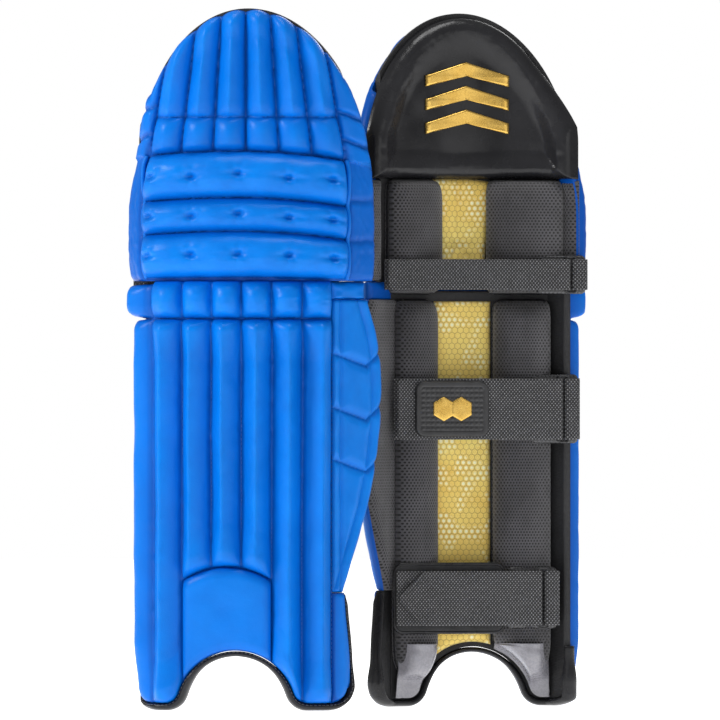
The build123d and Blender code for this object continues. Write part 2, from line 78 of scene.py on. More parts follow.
INNER_SEAM, INNER_TURN, INNER_WIDTH = -18.0, 62.0, 29.0
OUTER_SEAM, WING_TURN, FLANK_WIDTH = 24.972, 48.7, 26.0
RIB_WIDTH = 30.0
FRONT_RIBS = 6
FRONT_LENGTH = RIB_WIDTH * FRONT_RIBS
RIB_TOP, KNUCKLE_BOTTOM, KNUCKLE_TOP = 392.0, 393.0, 430.5
INNER_KNUCKLE_TOP = 427.0

KNEE_INNER, KNEE_OUTER = -19.0, 28.0
KNEE_LENGTH = math.radians(KNEE_OUTER - KNEE_INNER) * FRONT_RADIUS
KNEE_INNER_TURN, KNEE_INNER_WIDTH = 60.0, 28.0
KNEE_OUTER_TURN, KNEE_OUTER_WIDTH = 45.0, 33.0
KNEE_BOTTOM = 430.0
SHIN_BOARD_TOP = 420.8
ROLLS = (434.0, 480.0, 513.5, 559.5)
ROLL_DEPTH = 24.0
ARCH_X, ARCH_Z, ARCH_HALF, ARCH_RISE = 8.0, 530.0, 116.0, 173.0

LOBE_INNER, LOBE_OUTER, LOBE_CORNER = -112.0, 109.0, 22.0
INSTEP = (-5.0, 0.5, 52.5)  # centre x, centre z, radius
BINDING = 8.0
PANEL_TOP, PANEL_CROWN = 130.0, 14.0
WING_BOTTOM, WING_TOP = 118.0, 412.0

COVER_INSET = BINDING - 0.8  # the covers' lower edge, tucked into the binding
CUSHION_RADIUS = FRONT_RADIUS - BOARD - 1.5  # face the bolsters are sewn to
LINING_RADIUS = FRONT_RADIUS - BOARD - 0.3
CROWN = 44.0  # rearmost line of the bolsters
STRAPS = {
    "top": dict(z=437.5, width=31.0, bar=-94.0, sewn=96.0, tip=3.0, backing=0.0),
    "middle": dict(z=301.5, width=62.0, bar=-86.0, sewn=86.0, tip=4.0, backing=0.0),
    "bottom": dict(z=110.0, width=55.0, bar=-64.0, sewn=84.0, tip=25.0, backing=4.0),
}
WEBBING = 2.2
WRAP = 2.6  # middle of the webbing, round a ring's bar
RING_PITCH = 10.0
TAB = 11.0  # length of a tab past its ring
TAIL_SETBACK = 4.0
BADGE_X, BADGE_CORNER = 26.0, 9.0
BACKING_BOX = (-30, 84, 75, 145)  # soft pad under the bottom strap: x, then z


# --- numbers and curves ------------------------------------------------------------------
def noise(u, v, seed):
    """Smooth value noise from -1 to 1, the same on every run."""
    u, v = np.broadcast_arrays(np.asarray(u, float), np.asarray(v, float))
    cu, cv = np.floor(u).astype(np.int64), np.floor(v).astype(np.int64)
    fu, fv = u - cu, v - cv
    fu, fv = fu * fu * (3 - 2 * fu), fv * fv * (3 - 2 * fv)

    def lattice(a, b):
        n = (a * 73856093) ^ (b * 19349663) ^ (seed * 83492791)
        n = ((n ^ (n >> 13)) * 1274126177) & 0x7FFFFFFF
        return ((n >> 7) & 0xFFFF) / 32767.5 - 1

    low = lattice(cu, cv) * (1 - fu) + lattice(cu + 1, cv) * fu
    high = lattice(cu, cv + 1) * (1 - fu) + lattice(cu + 1, cv + 1) * fu
    return low * (1 - fv) + high * fv


def rounded(distance, length, power=2.0):
    """0 at an edge, rising in a quarter round to 1 at this length from it."""
    d = np.clip(distance / length, 0, 1)
    return (1 - (1 - d) ** power) ** (1 / power)


def ridge(t, peak, sharp):
    """Section of a stuffed rib from seam (0) to seam (1), part round and part pointed."""
    q = np.where(t < peak, (peak - t) / peak, (t - peak) / (1 - peak))
    q = np.clip(q, 0, 1)
    return (1 - sharp) * np.sqrt(1 - q * q) + sharp * (1 - q)


def step(value, low, high):
    t = np.clip((value - low) / (high - low), 0, 1)
    return t * t * (3 - 2 * t)


def arc_point(angle, radius):
    a = np.radians(angle)
    return LEG_AXIS_X + radius * np.sin(a), FRONT_RADIUS - radius * np.cos(a)


def angle_at(x, radius):
    return math.degrees(math.asin((x - LEG_AXIS_X) / radius))


def section(s, out, inner, outer, inner_turn, outer_turn):
    """Plan point s mm from the inner seam along the boards' outer face, and out mm in front."""
    s, out = np.broadcast_arrays(np.asarray(s, float), np.asarray(out, float))
    length = math.radians(outer - inner) * FRONT_RADIUS
    x, y = arc_point(inner + np.degrees(s / FRONT_RADIUS), FRONT_RADIUS + out)
    for side, seam, turn, along in ((-1, inner, inner_turn, -s), (1, outer, outer_turn, s - length)):
        cx, cy = arc_point(seam, FRONT_RADIUS)
        t = math.radians(turn)
        fx = cx + side * (along * math.cos(t) + out * math.sin(t))
        fy = cy + along * math.sin(t) - out * math.cos(t)
        x, y = np.where(along > 0, fx, x), np.where(along > 0, fy, y)
    return x, y


def soft_section(s, out, ends, spread):
    """The same with its corners rounded off, for linings that lie inside them."""
    s = np.asarray(s, float)
    offsets = np.linspace(-spread, spread, 61)
    x, y = np.mean([section(s + d, 0, *ends) for d in offsets], axis=0)
    x2, y2 = np.mean([section(s + d + 0.5, 0, *ends) for d in offsets], axis=0)
    tx, ty = x2 - x, y2 - y
    size = np.hypot(tx, ty)
    return x + out * ty / size, y - out * tx / size


SHIN = (INNER_SEAM, OUTER_SEAM, INNER_TURN, WING_TURN)
KNEE = (KNEE_INNER, KNEE_OUTER, KNEE_INNER_TURN, KNEE_OUTER_TURN)


def foot_low(x, inset):
    """Lowest z of the pad's front view at x, this far in from its outline."""
    x = np.asarray(x, float)
    low, high, r = LOBE_INNER + inset, LOBE_OUTER - inset, max(LOBE_CORNER - inset, 1.0)
    cx, cz, radius = INSTEP[0], INSTEP[1], INSTEP[2] + inset
    dx = math.sqrt((radius + r) ** 2 - (inset + r - cz) ** 2)
    tangent = radius * dx / (radius + r)
    z = np.full(x.shape, inset)
    corner = np.clip(np.maximum(low + r - x, x - (high - r)), 0, r)
    z = np.maximum(z, inset + r - np.sqrt(r * r - corner**2))
    inner = np.clip(dx - np.abs(x - cx), 0, r)
    z = np.where(np.abs(x - cx) < dx, inset + r - np.sqrt(np.maximum(r * r - inner**2, 0)), z)
    arch = cz + np.sqrt(np.maximum(radius**2 - (x - cx) ** 2, 0))
    return np.where(np.abs(x - cx) < tangent, arch, z)


def arch_high(x, inset):
    """Highest z of the pad's arched top at x."""
    u = np.clip((np.asarray(x, float) - ARCH_X) / (ARCH_HALF - inset), -0.999, 0.999)
    return ARCH_Z + (ARCH_RISE - inset) * np.sqrt(1 - u * u)


# --- meshes ------------------------------------------------------------------------------
def grid_quads(rows, columns, start=0):
    i = np.arange(rows * columns).reshape(rows, columns) + start
    return np.stack([i[:-1, :-1], i[:-1, 1:], i[1:, 1:], i[1:, :-1]], -1).reshape(-1, 4)


def shell_arrays(front, back, pattern, crown):
    """Closed solid between two grids of points, joined round their rims."""
    rows, columns = front.shape[:2]
    count = rows * columns
    i = np.arange(count).reshape(rows, columns)
    rim = np.concatenate([i[0, :], i[1:, -1], i[-1, -2::-1], i[-2:0:-1, 0]])
    after = np.roll(rim, -1)
    sides = np.stack([rim, rim + count, after + count, after], -1)
    rear = grid_quads(rows, columns, count)[:, ::-1]
    faces = np.concatenate([grid_quads(rows, columns), rear, sides])
    points = np.concatenate([front.reshape(-1, 3), back.reshape(-1, 3)])
    flat = np.zeros((rows, columns, 3))
    flat[..., 0], flat[..., 1] = pattern
    flat = flat.reshape(-1, 3)
    crown = np.broadcast_to(crown, (rows, columns)).ravel()
    return points, [faces], np.concatenate([flat, flat]), np.concatenate([crown, crown * 0])


def mesh_of(name, *parts):
    """Mesh in metres from parts in mm: each is points, blocks of polygons, pattern places and crown."""
    groups = {}
    offset = 0
    for points, blocks, _, _ in parts:
        for block in blocks:
            groups.setdefault(block.shape[1], []).append(block + offset)
        offset += len(points)
    polygons = [np.concatenate(blocks) for blocks in groups.values()]
    points, pattern, crown = (np.concatenate([part[k] for part in parts]) for k in (0, 2, 3))
    points = points * MM
    volume = 0.0
    for block in polygons:
        for k in range(1, block.shape[1] - 1):
            a, b, c = points[block[:, 0]], points[block[:, k]], points[block[:, k + 1]]
            volume += np.einsum("ij,ij->i", a, np.cross(b, c)).sum()
    if volume < 0:
        polygons = [block[:, ::-1] for block in polygons]
    mesh = bpy.data.meshes.new(name)
    corners = np.concatenate([block.ravel() for block in polygons]).astype(np.int32)
    counts = np.concatenate([np.full(len(block), block.shape[1]) for block in polygons])
    mesh.vertices.add(len(points))
    mesh.vertices.foreach_set("co", points.astype(np.float32).ravel())
    mesh.loops.add(len(corners))
    mesh.loops.foreach_set("vertex_index", corners)
    mesh.polygons.add(len(counts))
    mesh.polygons.foreach_set("loop_start", (np.cumsum(counts) - counts).astype(np.int32))
    mesh.polygons.foreach_set("use_smooth", np.ones(len(counts), bool))
    mesh.update(calc_edges=True)
    mesh.validate()
    layer = mesh.attributes.new("pattern", "FLOAT_VECTOR", "POINT")
    layer.data.foreach_set("vector", (pattern * MM).astype(np.float32).ravel())
    # crown runs from 0 where a surface lies low to 1 where it stands out; the leathers paint shade and
    # highlights from it.
    layer = mesh.attributes.new("crown", "FLOAT", "POINT")
    layer.data.foreach_set("value", crown.astype(np.float32).ravel())
    return mesh


def plan_grid(s, z, out, ends, spread=0.0):
    """Grid of points on a section, given mm along it, heights and mm in front of it."""
    x, y = soft_section(s, out, ends, spread) if spread else section(s, out, *ends)
    return np.stack([np.broadcast_to(a, z.shape) for a in (x, y, z)], -1)


def arc_grid(angle, radius, z):
    """Grid of points about the leg axis."""
    return np.stack([*arc_point(angle, radius), z], -1)


def unit(vectors):
    return vectors / np.linalg.norm(vectors, axis=1)[:, None]


def square_to(tangent, vectors):
    """Unit vectors at right angles to a path."""
    return unit(vectors - tangent * np.einsum("ij,ij->i", vectors, tangent)[:, None])


def path_length(path):
    """Distance along a path at each of its points."""
    return np.concatenate([[0], np.cumsum(np.linalg.norm(np.diff(path, axis=0), axis=1))])


def subdivide(outline, steps):
    """Closed outline with each side split; steps gives the number of pieces from a side's length."""
    outline = np.asarray(outline, float)
    dense = []
    for a, b in zip(outline, np.roll(outline, -1, 0)):
        count = steps(np.linalg.norm(b - a))
        dense += [a + (b - a) * k / count for k in range(count)]
    return dense


def tube_arrays(path, radius, sides=10, closed=False, squash=1.0, up=None):
    """Round or flattened tube along a path."""
    path = np.asarray(path, float)
    if closed:
        tangent = np.roll(path, -1, 0) - np.roll(path, 1, 0)
    else:
        tangent = np.gradient(path, axis=0)
    tangent = unit(tangent)
    if up is None:
        normal = np.zeros_like(path)
        guess = np.array([0.0, 0.0, 1.0]) if abs(tangent[0, 2]) < 0.8 else np.array([0.0, 1.0, 0.0])
        for i, t in enumerate(tangent):
            guess = guess - t * guess.dot(t)
            guess /= np.linalg.norm(guess)
            normal[i] = guess
    else:
        normal = square_to(tangent, up)
    side = np.cross(tangent, normal)
    angle = np.linspace(0, 2 * math.pi, sides, endpoint=False)
    radius = np.broadcast_to(radius, len(path))[:, None, None]
    across = side[:, None] * (squash * np.sin(angle))[None, :, None]
    ring = normal[:, None] * np.cos(angle)[None, :, None] + across
    points = (path[:, None] + radius * ring).reshape(-1, 3)
    i = np.arange(len(points)).reshape(len(path), sides)
    j = np.roll(i, -1, 1)
    last = len(path) if closed else len(path) - 1
    k = (np.arange(last) + 1) % len(path)
    faces = np.stack([i[:last], j[:last], j[k], i[k]], -1).reshape(-1, 4)
    blocks = [faces]
    if not closed:
        blocks.append(np.stack([i[0][::-1], i[-1]]))
    pattern = np.zeros((len(path), sides, 3))
    pattern[..., 0] = path_length(path)[:, None]
    pattern[..., 1] = (angle * 2.0)[None, :]
    return points, blocks, pattern.reshape(-1, 3), np.full(len(points), 0.6)


def resample(path, pitch):
    length = path_length(path)
    count = max(int(length[-1] / pitch), 1)
    at = (np.arange(count) + 0.5) * length[-1] / count
    return np.stack([np.interp(at, length, path[:, k]) for k in range(3)], -1)


def stitch_arrays(path, normal, pitch=4.6, length=3.0, radius=0.42):
    """Row of thread stitches along a path, sunk a little at both ends."""
    centre = resample(path, pitch)
    tangent = unit(np.gradient(centre, axis=0)) if len(centre) > 1 else np.array([[0.0, 0.0, 1.0]])
    normal = square_to(tangent, np.broadcast_to(np.asarray(normal, float), centre.shape))
    side = np.cross(tangent, normal)
    along = np.array([-0.5, -0.34, 0.34, 0.5]) * length
    sink = np.array([-0.5, 0.1, 0.1, -0.5]) * radius
    size = np.array([0.55, 1.0, 1.0, 0.55]) * radius
    angle = np.linspace(0, 2 * math.pi, 6, endpoint=False)
    along, sink = along[None, :, None], sink[None, :, None]
    base = centre[:, None] + tangent[:, None] * along + normal[:, None] * sink
    cosine, sine = np.cos(angle)[None, :, None], np.sin(angle)[None, :, None]
    ring = normal[:, None] * cosine + side[:, None] * sine
    points = base[:, :, None] + ring[:, None] * size[None, :, None, None]
    count = len(centre)
    i = np.arange(count * 24).reshape(count, 4, 6)
    j = np.roll(i, -1, 2)
    faces = np.stack([i[:, :-1], j[:, :-1], j[:, 1:], i[:, 1:]], -1).reshape(-1, 4)
    caps = np.concatenate([i[:, 0, ::-1], i[:, -1]])
    points = points.reshape(-1, 3)
    return points, [faces, caps], points.copy(), np.full(len(points), 0.5)


# --- front covers ------------------------------------------------------------------------
RIDGES = (0.36, 0.35, 0.40, 0.47, 0.52, 0.60)


def panel_edge(s):
    u = np.clip((s - 2.5 * RIB_WIDTH) / (1.5 * RIB_WIDTH), -1, 1)
    return PANEL_TOP + PANEL_CROWN * (1 - u * u)


def shin_height(s, z, low):
    """How far the shin's ribs, knuckles and lobes stand out from the board."""
    seam_sway = 0.7 * noise(s / 60, z / 70, 11)
    k = np.clip(np.floor((s + seam_sway) / RIB_WIDTH), 0, FRONT_RIBS - 1).astype(int)
    t = np.clip((s + seam_sway) / RIB_WIDTH - k, 0, 1)
    peak = np.array(RIDGES)[k]
    covered = (k >= 1) & (k < 4)
    end = np.where(covered, panel_edge(s) + 1, low)
    above = z - end
    fade = np.clip(np.minimum(above, RIB_TOP - z) / 42, 0, 1)
    body = ridge(t, peak, 0.10 + 0.72 * fade)
    swell = 1 + 0.10 * (1 - fade) + 0.035 * noise(k * 7.3, z / 38, 3)
    rib = 17.5 * body * swell * rounded(above, 17) * rounded(RIB_TOP - z, 13)
    centre = (KNUCKLE_BOTTOM + KNUCKLE_TOP) / 2
    half = (KNUCKLE_TOP - KNUCKLE_BOTTOM) / 2
    q = np.clip(np.abs(z - centre) / half, 0, 1)
    knuckle = 19.0 * ridge(t, 0.5, 0.0) * np.sqrt(1 - q**2.2)
    crinkle = noise(s / 6.0, z / 2.6, 5) * (0.25 + 0.75 * np.clip(k / 5, 0, 1)) * 0.5
    knuckle = knuckle + crinkle * step(knuckle, 2, 9)
    along = -s
    tf = np.clip(along / INNER_WIDTH, 0, 1)
    flank_top = np.where(z < RIB_TOP + 1, RIB_TOP, INNER_KNUCKLE_TOP)
    flank_low = np.where(z < RIB_TOP + 1, low, KNUCKLE_BOTTOM)
    flank = 11.5 * ridge(tf, 0.5, 0.1) * rounded(flank_top - z, 12) * rounded(z - flank_low, 14)
    height = np.where(z > RIB_TOP + 1, np.maximum(knuckle, 0), np.where(above > 0, rib, 0))
    height = np.where(s < 0, np.maximum(flank, 0), height)
    full = step(height, 1.5, 10)
    pucker = noise(s / 3.2, z / 7.5, 21) * (1 - full) * step(height, 0.2, 1.5) * 0.55
    lump = noise(s / 17, z / 31, 22) * full * 0.55 + noise(s / 8, z / 12, 23) * full * 0.18
    return 0.5 + height + pucker + lump


def column_positions(start, end, pitch):
    return np.linspace(start, end, int(round((end - start) / pitch)) + 1)


def flank_width(z):
    """Width of the turned-back edge beside the outer lobe."""
    return 17.0 + (FLANK_WIDTH - 19.0) * step(WING_BOTTOM - z, 0, 75)


def shin_bulge(x, z):
    """How far the turned-back inner rib swells out to the side."""
    knuckles = step(z, RIB_TOP - 3, RIB_TOP + 8)
    return -np.clip((-84 - x) / 14.0, 0, 1.3) * (4.0 + 5.5 * knuckles) * step(z, 20, 70)


def flank_grid(columns, rows, inset=0.0):
    """Places along and up the turned-back edge beside the outer lobe."""
    t = np.linspace(0, 1, columns)[None, :]
    x, _ = section(FRONT_LENGTH + t * FLANK_WIDTH, 0, *SHIN)
    low = foot_low(x, COVER_INSET)
    z = low + np.linspace(0, 1, rows)[:, None] * (WING_BOTTOM - 0.2 - low)
    return FRONT_LENGTH + t * (flank_width(z) - inset), z, low


def foot_grid(s, rows, high):
    """Places along the shin, from the binding at the foot up to a height."""
    x, _ = section(s, 0, *SHIN)
    low = foot_low(x, COVER_INSET)
    z = low + np.linspace(0, 1, rows)[:, None] * (high - low)
    return np.broadcast_to(s, z.shape), z, low


def shin_cover():
    """Padded front of the shin, with the turned-back edge beside the outer lobe."""
    s = column_positions(-INNER_WIDTH, FRONT_LENGTH, 1.5)
    s, z, low = foot_grid(s, 300, np.where(s < 0, INNER_KNUCKLE_TOP, KNUCKLE_TOP))
    out = shin_height(s, z, low)
    front = plan_grid(s, z, out, SHIN)
    front[..., 0] += shin_bulge(front[..., 0], z) * step(out, 0.5, 6)
    back = plan_grid(s, z, 0.15, SHIN)
    main = shell_arrays(front, back, (s, z), step(out, 1, 17))
    s, z, low = flank_grid(17, 60)
    edge = np.minimum(s - FRONT_LENGTH, FRONT_LENGTH + flank_width(z) - s)
    out = 0.5 + 6 * rounded(edge, 12) * rounded(z - low, 12) * rounded((WING_BOTTOM - z) * 2.5, 12)
    front = plan_grid(s, z, out, SHIN)
    back = plan_grid(s, z, 0.15, SHIN)
    side = shell_arrays(front, back, (s, z), step(out, 3, 8))
    return mesh_of("shin_cover", main, side)


def shin_core():
    """Covered stiffener board behind the shin, with its turned-back edges."""
    s, z, low = foot_grid(column_positions(-INNER_WIDTH, FRONT_LENGTH, 2.0), 160, SHIN_BOARD_TOP)
    back = -BOARD + 0.25 * noise(s / 9, z / 11, 25) * step(z, low, low + 8)
    main = shell_arrays(plan_grid(s, z, 0.0, SHIN), plan_grid(s, z, back, SHIN), (s, z), 0.4)
    s, z, _ = flank_grid(14, 50)
    side = shell_arrays(plan_grid(s, z, 0.0, SHIN), plan_grid(s, z, -BOARD, SHIN), (s, z), 0.4)
    return mesh_of("shin_core", main, side)


def instep_cover():
    """Padded panel over the instep, between the second and the fifth rib."""
    s = column_positions(RIB_WIDTH + 0.6, 4 * RIB_WIDTH - 0.6, 1.5)
    top = panel_edge(s)
    s, z, low = foot_grid(s, 80, top)
    edge = np.minimum(s - RIB_WIDTH, 4 * RIB_WIDTH - s)
    puff = rounded(edge, 11) * rounded(top - z, 12) * rounded(z - low, 10)
    out = 0.9 + 7.5 * puff + 1.5 * puff * rounded(z - low, 70) + 0.4 * noise(s / 18, z / 20, 31) * puff
    front = plan_grid(s, z, out, SHIN)
    back = plan_grid(s, z, 0.7, SHIN)
    return mesh_of("instep_cover", shell_arrays(front, back, (s, z), step(out, 3, 12)))


def roll_seams(s):
    """Heights of the knee rolls' seams at s; they droop towards both ends."""
    u = s / KNEE_LENGTH
    droop = np.where(u < 0.45, 4.0 * ((0.45 - u) / 0.45) ** 2, 9.0 * ((u - 0.45) / 0.55) ** 2)
    return [z - droop * (0.25 if n == 0 else 1) for n, z in enumerate(ROLLS)]


DIMPLE_X = (-86.0, -46.5, 0.5, 49.5, 90.0)
DIMPLE_RADIUS = FRONT_RADIUS + ROLL_DEPTH / 2
TOP_CREASE = 594.0  # crease between the short bulges and the long top ribs
TAPER_START, TAPER = 557, 0.0019  # the top ribs close up above this height, per mm


def knee_height(s, z, high, slope):
    """How far the knee rolls, the top ribs and the side pieces stand out."""
    seams = roll_seams(s)
    roll = np.zeros(z.shape)
    ends = rounded(np.minimum(s, KNEE_LENGTH - s), 13)
    for n in range(3):
        centre, half = (seams[n] + seams[n + 1]) / 2, (seams[n + 1] - seams[n]) / 2
        q = np.clip(np.abs(z - centre) / half, 0, 1)
        body = ROLL_DEPTH * np.sqrt(1 - q**2.1) * (0.86 if n == 1 else 0.97)
        for m, x in enumerate(DIMPLE_X):
            at = math.radians(angle_at(x, DIMPLE_RADIUS) - KNEE_INNER) * FRONT_RADIUS
            dx, dz = s - at, z - (centre + 1.2 * math.sin(3.1 * m + n))
            turn = np.arctan2(dz, dx)
            reach = np.hypot(dx / 1.25, dz)
            pit = 5.0 * np.exp(-((reach / 3.6) ** 2)) + 2.6 * np.exp(-((reach / 12.0) ** 2))
            body = body - pit * (q < 1)
            folds = 0.30 * np.sin(turn * 6 + m + n) * np.exp(-(((reach - 8) / 5.0) ** 2))
            body = body + folds * (q < 1)
            tuck = np.exp(-((dz / 3.0) ** 2)) * np.exp(-((dx / 14.0) ** 2))
            body = body - 1.2 * tuck * (q < 1)
        wrinkle = noise(s / 19, z / 11, 41 + n) * 0.55 + noise(s / 7, z / 3.6, 44 + n) * 0.16
        body = np.maximum(body, 0) * ends + wrinkle * step(body, 5, 14) * ends
        roll = np.where((z >= seams[n]) & (z < seams[n + 1]), body, roll)
    low = seams[3]
    centre = KNEE_LENGTH / 2
    spread = 1 - TAPER * np.clip(z - TAPER_START, 0, None)
    flat = centre + (s - centre) / spread
    width = KNEE_LENGTH / 6
    k = np.clip(np.floor(flat / width), 0, 5).astype(int)
    t = np.clip(flat / width - k, 0, 1)
    away = (high - z) / np.sqrt(1 + slope * slope)
    q = np.clip(np.abs(z - (low + TOP_CREASE) / 2) / ((TOP_CREASE - low) / 2), 0, 1)
    bulge = 15.5 * ridge(t, 0.5, 0.1) * (0.28 + 0.72 * np.sqrt(1 - q**2.2)) * rounded(z - low, 9)
    fade = np.clip(away / 34, 0, 1)
    long = 17.0 * ridge(t, 0.5, 0.05 + 0.5 * fade)
    long = long * (1.02 - 0.1 * np.exp(-(((away - 27) / 8) ** 2)))
    long = long * rounded(away, 15) * (0.30 + 0.70 * rounded(z - TOP_CREASE, 15))
    ribs = np.where(z < TOP_CREASE, bulge, long)
    outside = np.maximum(-flat, flat - KNEE_LENGTH)
    span = np.where(s < centre, KNEE_INNER_WIDTH, KNEE_OUTER_WIDTH)
    rim = np.where(s < centre, s + KNEE_INNER_WIDTH, KNEE_LENGTH + KNEE_OUTER_WIDTH - s)
    strip = 8.5 * rounded(outside, 7) * rounded(np.minimum(rim, away), 9)
    for cut in (548.0, 576.0, 604.0):
        line = cut - 0.35 * outside + np.where(s < centre, 2, -4)
        strip = strip * (1 - 0.55 * np.exp(-(((z - line) / 3.2) ** 2)))
    top = np.where(outside > 0, strip, ribs)
    beyond = np.maximum(-s, s - KNEE_LENGTH)
    flap = 5.2 * rounded(beyond, 5) * rounded(span - beyond, 7) * rounded(z - KNEE_BOTTOM, 8)
    for cut in (470.0, 510.0):
        flap = flap * (1 - 0.35 * np.exp(-(((z - cut) / 3.5) ** 2)) * (s > centre))
    height = np.where(z < low, np.where(beyond > 0, flap, roll), top)
    height = np.maximum(height, 0)
    full = step(height, 1.5, 9)
    pucker = noise(s / 3.4, z / 5.5, 51) * (1 - full) * step(height, 0.2, 1.5) * 0.6
    lump = noise(s / 13, z / 19, 52) * full * 0.6
    return 0.5 + height + pucker + lump


def side_bulge(x, z):
    """How far the knee section spreads sideways at the height of its rolls."""
    level = np.exp(-(((z - 478) / 62.0) ** 4))
    left = np.clip((-30 - x) / 62.0, 0, 1.2) ** 2
    right = np.clip((x - 60) / 40.0, 0, 1.2) ** 2
    return level * (3.0 * right - 7.0 * left)


def knee_cover():
    """Padded front and sides of the knee section, scalloped along its arched top."""
    s = column_positions(-KNEE_INNER_WIDTH, KNEE_LENGTH + KNEE_OUTER_WIDTH, 1.25)
    x, _ = section(s, 0, *KNEE)
    high = arch_high(x, 1.0)
    slope = np.gradient(high, x)
    width = KNEE_LENGTH / 6
    spread = 1 - TAPER * (high - TAPER_START)
    flat = KNEE_LENGTH / 2 + (s - KNEE_LENGTH / 2) / spread
    scallop = 3.4 * (1 - np.abs(np.sin(math.pi * flat / width)) ** 0.7)
    high = high - scallop * ((flat > -2) & (flat < KNEE_LENGTH + 2)) / np.sqrt(1 + slope * slope)
    z = KNEE_BOTTOM + np.linspace(0, 1, 215)[:, None] * (high - KNEE_BOTTOM)
    s = np.broadcast_to(s, z.shape)
    out = knee_height(s, z, high, slope)
    front = plan_grid(s, z, out, KNEE)
    front[..., 0] += side_bulge(front[..., 0], z)
    beyond = np.maximum(-s, s - KNEE_LENGTH)
    back = plan_grid(s, z, 0.15 - (BOARD + 0.1) * step(beyond, 6, 9), KNEE)
    back[..., 0] += side_bulge(back[..., 0], z) * step(beyond, 4, 9)
    return mesh_of("knee_cover", shell_arrays(front, back, (s, z), step(out, 1, 21)))


# --- wing --------------------------------------------------------------------------------
CHEVRONS = (252.0, 304.0, 358.0)  # where the wing's cross seams leave the shin
WING_FOLD = 45.0


def wing_edge(z):
    """Width of the wing at a height."""
    points_z = np.array([118, 140, 170, 205, 245, 285, 321, 355, 385, 412.0])
    points_u = np.array([16, 24, 36, 49, 59.5, 65.5, 67.5, 65.5, 58, 47.0])
    return np.interp(z, points_z, points_u)


def chevron(start, u):
    """Height of a cross seam of the wing, u mm from the shin."""
    return start - 13 * np.clip(u / WING_FOLD, 0, 1) + 14 * np.clip((u - WING_FOLD) / 20, 0, 1)


def wing_cover():
    """Padded shell of the wing, and the mesh lining behind it."""
    v = np.linspace(0, 1, 190)[:, None]
    t = np.linspace(0, 1, 56)[None, :]
    z = WING_BOTTOM + v * (WING_TOP - WING_BOTTOM) + 0 * t
    edge = wing_edge(z)
    kernel = np.hanning(19) / np.hanning(19).sum()
    smooth = np.convolve(np.pad(edge[:, 0], 9, "edge"), kernel, "valid")[:, None]
    u = 1.2 + t * (smooth - 1.2)
    ends = np.minimum((z - WING_BOTTOM) * 2.5 + 0.5, (WING_TOP - z) * 2.6 + 1.0)
    rim = np.minimum(smooth - u, ends)
    depth = np.full(z.shape, 30.0)
    for start in CHEVRONS:
        depth = np.minimum(depth, np.abs(z - chevron(start, u)))
    fold = smooth - 15
    depth = np.minimum(depth, np.abs(u - fold) + 1.5)
    depth = np.minimum(depth, np.abs(u - 11) * 0.9 + 1.0)
    puff = rounded(rim, 8) * (0.36 + 0.64 * rounded(depth, 11))
    out = -4.5 + 10.0 * puff + 0.45 * noise(u / 13, z / 17, 61)
    out = out + 0.3 * noise(u / 4, z / 6, 62) * (1 - rounded(depth, 9))
    s = FRONT_LENGTH + u
    front = plan_grid(s, z, out, SHIN)
    back = plan_grid(s, z, -7.6, SHIN)
    cover = shell_arrays(front, back, (u, z), step(out, -2, 5))
    inside = -8.1 - 5.5 * rounded(rim, 10) - 0.5 * noise(u / 12, z / 15, 63) * rounded(rim, 14)
    front = plan_grid(s, z, inside, SHIN)
    back = plan_grid(s, z, -7.9, SHIN)
    lining = shell_arrays(front, back, (u, z), step(-inside, 8, 14))
    return mesh_of("wing_cover", cover), mesh_of("wing_liner", lining)


# --- rear cushions -----------------------------------------------------------------------
def strap_press(z):
    """1 where a strap holds the bolsters down, 0 between straps."""
    return sum(np.exp(-(((z - q["z"]) / (q["width"] * 0.62)) ** 4)) for q in STRAPS.values())


def bolster_floor(angle, low):
    """Lowest z of a bolster at an angle, clear of the instep."""
    x, _ = arc_point(angle, CUSHION_RADIUS)
    return np.maximum(low, foot_low(x, BINDING + 5.0)) if low < WING_BOTTOM else low + 0 * x


OVERHANG = 5.0  # how far a bolster's sides swell out past its seams


def crown_height(middle):
    """How far a bolster stands out at its middle angle to reach the crown line."""
    _, y = arc_point(middle, CUSHION_RADIUS)
    return (CROWN - y) / math.cos(math.radians(middle))


def bolster_grid(start, end, low, high, lower_round, seed):
    """Crowned bolster between two angles: angle, z and depth at every point."""
    middle, half = (start + end) / 2, (end - start) / 2
    t = np.linspace(-1, 1, 46)[None, :]
    floor_line = bolster_floor(middle + t * half, low)
    z = floor_line + np.linspace(0, 1, int((high - low) / 1.9))[:, None] * (high - floor_line)
    if lower_round > 12:
        shape = 0.62 + 0.38 * rounded(z - low, lower_round)
    else:
        shape = 0.9 + 0.1 * rounded(z - low, 12)
    shape = shape * (0.92 + 0.08 * rounded(high - z, 12))
    angle = middle + t * shape * half
    body = (1 - np.abs(t) ** 2.8) ** (1 / 1.9)
    ends = rounded(z - floor_line, 24, 2.3) * rounded(high - z, 22, 2.3)
    overhang = np.degrees(OVERHANG / CUSHION_RADIUS) * 4 * body * (1 - body)
    angle = angle + np.sign(t) * overhang * ends
    loose = 1 - strap_press(z)
    height = crown_height(middle) * body * ends * (1 + 0.035 * loose)
    lumps = noise(t * 1.6, z / 34, seed) * 0.9 + noise(t * 5, z / 9, seed + 1) * 0.28
    height = height + lumps * body * loose
    height = height + noise(t * 2.2, z / 3.3, seed + 2) * 0.5 * (1 - ends) * body
    return angle, np.broadcast_to(z, angle.shape), np.maximum(height, 0) + 0.4


def spread_back(points):
    """Spreads the inner side of the knee's rear pieces, as the rolls in front of them spread."""
    x, z = points[..., 0].copy(), points[..., 2]
    level = (1 - step(z, 570, 660)) * step(z, 405, 440)
    points[..., 0] -= 13.0 * np.clip((-36 - x) / 66.0, 0, 1.1) * level
    return points


